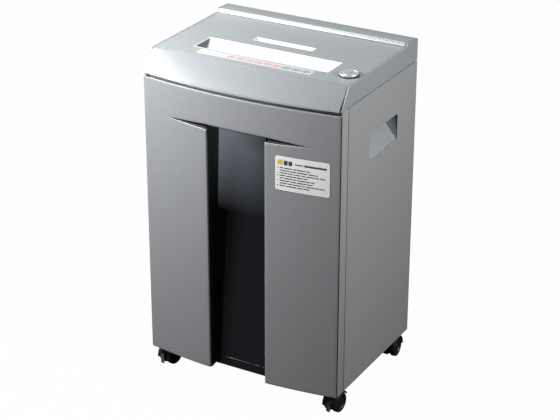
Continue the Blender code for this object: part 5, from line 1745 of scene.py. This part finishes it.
back = bmesh.new()
square = rounded_loop((BACK_LOW.x, BACK_LOW.z), (BACK_HIGH.x, BACK_HIGH.z), 0.001, 5)
hole = []
for i in range(len(square)):
    angle = math.radians(360 * (i + 0.5) / len(square))
    hole.append((GLAND_X + GLAND_HOLE * math.cos(angle), GLAND_Z + GLAND_HOLE * math.sin(angle)))
add_ring(back, square, hole, "Y", BACK_LOW.y, BACK_HIGH.y)
for x in LOUVRE_COLUMNS:
    add_row(back, louvre(), STEEL_PAINT, LOUVRES, (x, BACK_HIGH.y, LOUVRE_Z), (0, 0, LOUVRE_STEP))
finish_piece("steel_back", back, STEEL_PAINT, "cabinet", ["back_panel"])
screws = bmesh.new()
for x in (BACK_LOW.x + 0.016, BACK_HIGH.x - 0.016):
    add_row(screws, pan_screw(), ZINC_STEEL, SIDE_SCREWS, (x, BACK_HIGH.y, BASE_Z + 0.030), (0, 0, SIDE_STEP))
for z in (BACK_HIGH.z - 0.012, BACK_LOW.z + 0.012):
    add_row(screws, pan_screw(), ZINC_STEEL, END_SCREWS, (-END_STEP, BACK_HIGH.y, z), (END_STEP, 0, 0))
finish_piece("back_screws", screws, ZINC_STEEL, "cabinet")
print(f"louvres: {2 * LOUVRES}, screws: {2 * (SIDE_SCREWS + END_SCREWS)}")

# %% [markdown]
# The other solids of the frame already have the right shape, so they keep their places and only their
# finish changes.

# %% Finishes for the solids that stay
CARRIED = {
    ZINC_STEEL: ["mech_deck", "left_cutter_plate", "right_cutter_plate", "comb_front", "comb_rear",
                 "tie_bar_front", "tie_bar_rear", "left_rail", "right_rail", "left_runner", "right_runner",
                 "motor"] + [f"caster_axle_{tag}" for tag in HEADINGS],
    STEEL_PAINT: ["base_pan"],
    GEAR_STEEL: ["sync_gear_front", "sync_gear_rear", "idler_gear", "motor_pinion"],
    BLACK_ABS: ["rotary_switch", "paper_sensor", "drawer_switch", "cord_gland"],
    BOARD_GREEN: ["control_board"],
}
for finish, names in CARRIED.items():
    for name in names:
        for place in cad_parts[name].material_slots:
            place.material = finish
print("solids kept:", sum(len(names) for names in CARRIED.values()))

# %% [markdown]
# ## Floor and light
#
# A small soft light stands close, in front on the left and above the top edge. Because it is so close,
# its light falls off quickly, and the paint fades from bright at the upper left to dark at the lower
# right. A weaker one lights the right side and a third one the top. The backdrop is overlit, as a
# catalogue picture is: the camera sees it as white, while the machine itself sees a dark floor.

# %% Floor
FLOOR_PAPER, tree, shader = new_finish("white_backdrop_paper", "#3c3e40", 0.9)
mottle(tree, shader, "Roughness", 200, 0.85, 0.95)
GLOW, GLOW_SHARE = 1.04, 0.95
glow = add_node(tree, "ShaderNodeEmission", {"Color": colour("#ffffff"), "Strength": GLOW})
seen = add_node(tree, "ShaderNodeLightPath").outputs["Is Camera Ray"]
share = add_node(tree, "ShaderNodeMath", {0: seen, 1: GLOW_SHARE}, operation="MULTIPLY")
paper_and_glow = {0: share.outputs[0], 1: shader.outputs["BSDF"], 2: glow.outputs["Emission"]}
blend = add_node(tree, "ShaderNodeMixShader", paper_and_glow)
tree.links.new(blend.outputs["Shader"], tree.nodes["Material Output"].inputs["Surface"])
FLOOR_SIDE, FLOOR_NEAR, FLOOR_FAR = 6, -6, 8
floor = bmesh.new()
near, far = [[(x, y, 0) for x in (-FLOOR_SIDE, FLOOR_SIDE)] for y in (FLOOR_NEAR, FLOOR_FAR)]
skin(floor, [near, far])
bmesh.ops.recalc_face_normals(floor, faces=floor.faces)
floor_mesh = bpy.data.meshes.new("floor")
floor.to_mesh(floor_mesh)
floor.free()
floor_mesh.materials.append(FLOOR_PAPER)
add_object("floor", floor_mesh)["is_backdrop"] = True
print(f"floor {2 * FLOOR_SIDE} m wide")

# %% [markdown]
# The lights are three square panels. The sky adds a little light from all sides to open the shadows, and
# to the camera it is plain white.

# %% Light
SKY_LIGHT = 0.12
world = bpy.data.worlds.new("studio")
bpy.context.scene.world = world
world.use_nodes = True
sky = world.node_tree.nodes["Background"]
sky.inputs["Color"].default_value = colour("#ffffff")
seen = add_node(world.node_tree, "ShaderNodeLightPath").outputs["Is Camera Ray"]
shown = {"Value": seen, "To Min": SKY_LIGHT, "To Max": 1.0}
level = add_node(world.node_tree, "ShaderNodeMapRange", shown)
world.node_tree.links.new(level.outputs["Result"], sky.inputs["Strength"])
bpy.context.scene.view_settings.view_transform = "Standard"


def add_softbox(name, place, target, size, power):
    """A square panel of light at a place, turned to face its target."""
    light = bpy.data.lights.new(name, "AREA")
    light.shape = "RECTANGLE"
    light.size = light.size_y = size
    light.energy = power
    panel = add_object(name, light)
    panel.location = place
    panel.rotation_euler = (Vector(target) - Vector(place)).to_track_quat("-Z", "Y").to_euler()


add_softbox("key", (-0.64, -0.63, 1.08), (-0.05, -0.1, 0.58), 0.3, 20.5)
add_softbox("fill", (1.15, -0.05, 1.05), (0.2, 0, 0.45), 0.5, 13)
add_softbox("top", (-0.6, 0.2, 1.4), (-0.1, 0.05, 0.65), 0.5, 6.5)
print("lights:", len(bpy.data.lights))

# %% [markdown]
# ## Finish
#
# The size of the finished model is printed at the end.

# %% Print the size and finish
bpy.context.view_layer.update()
low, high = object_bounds()
print("model:", [round((b - a) * 1000, 1) for a, b in zip(low, high)], "mm")
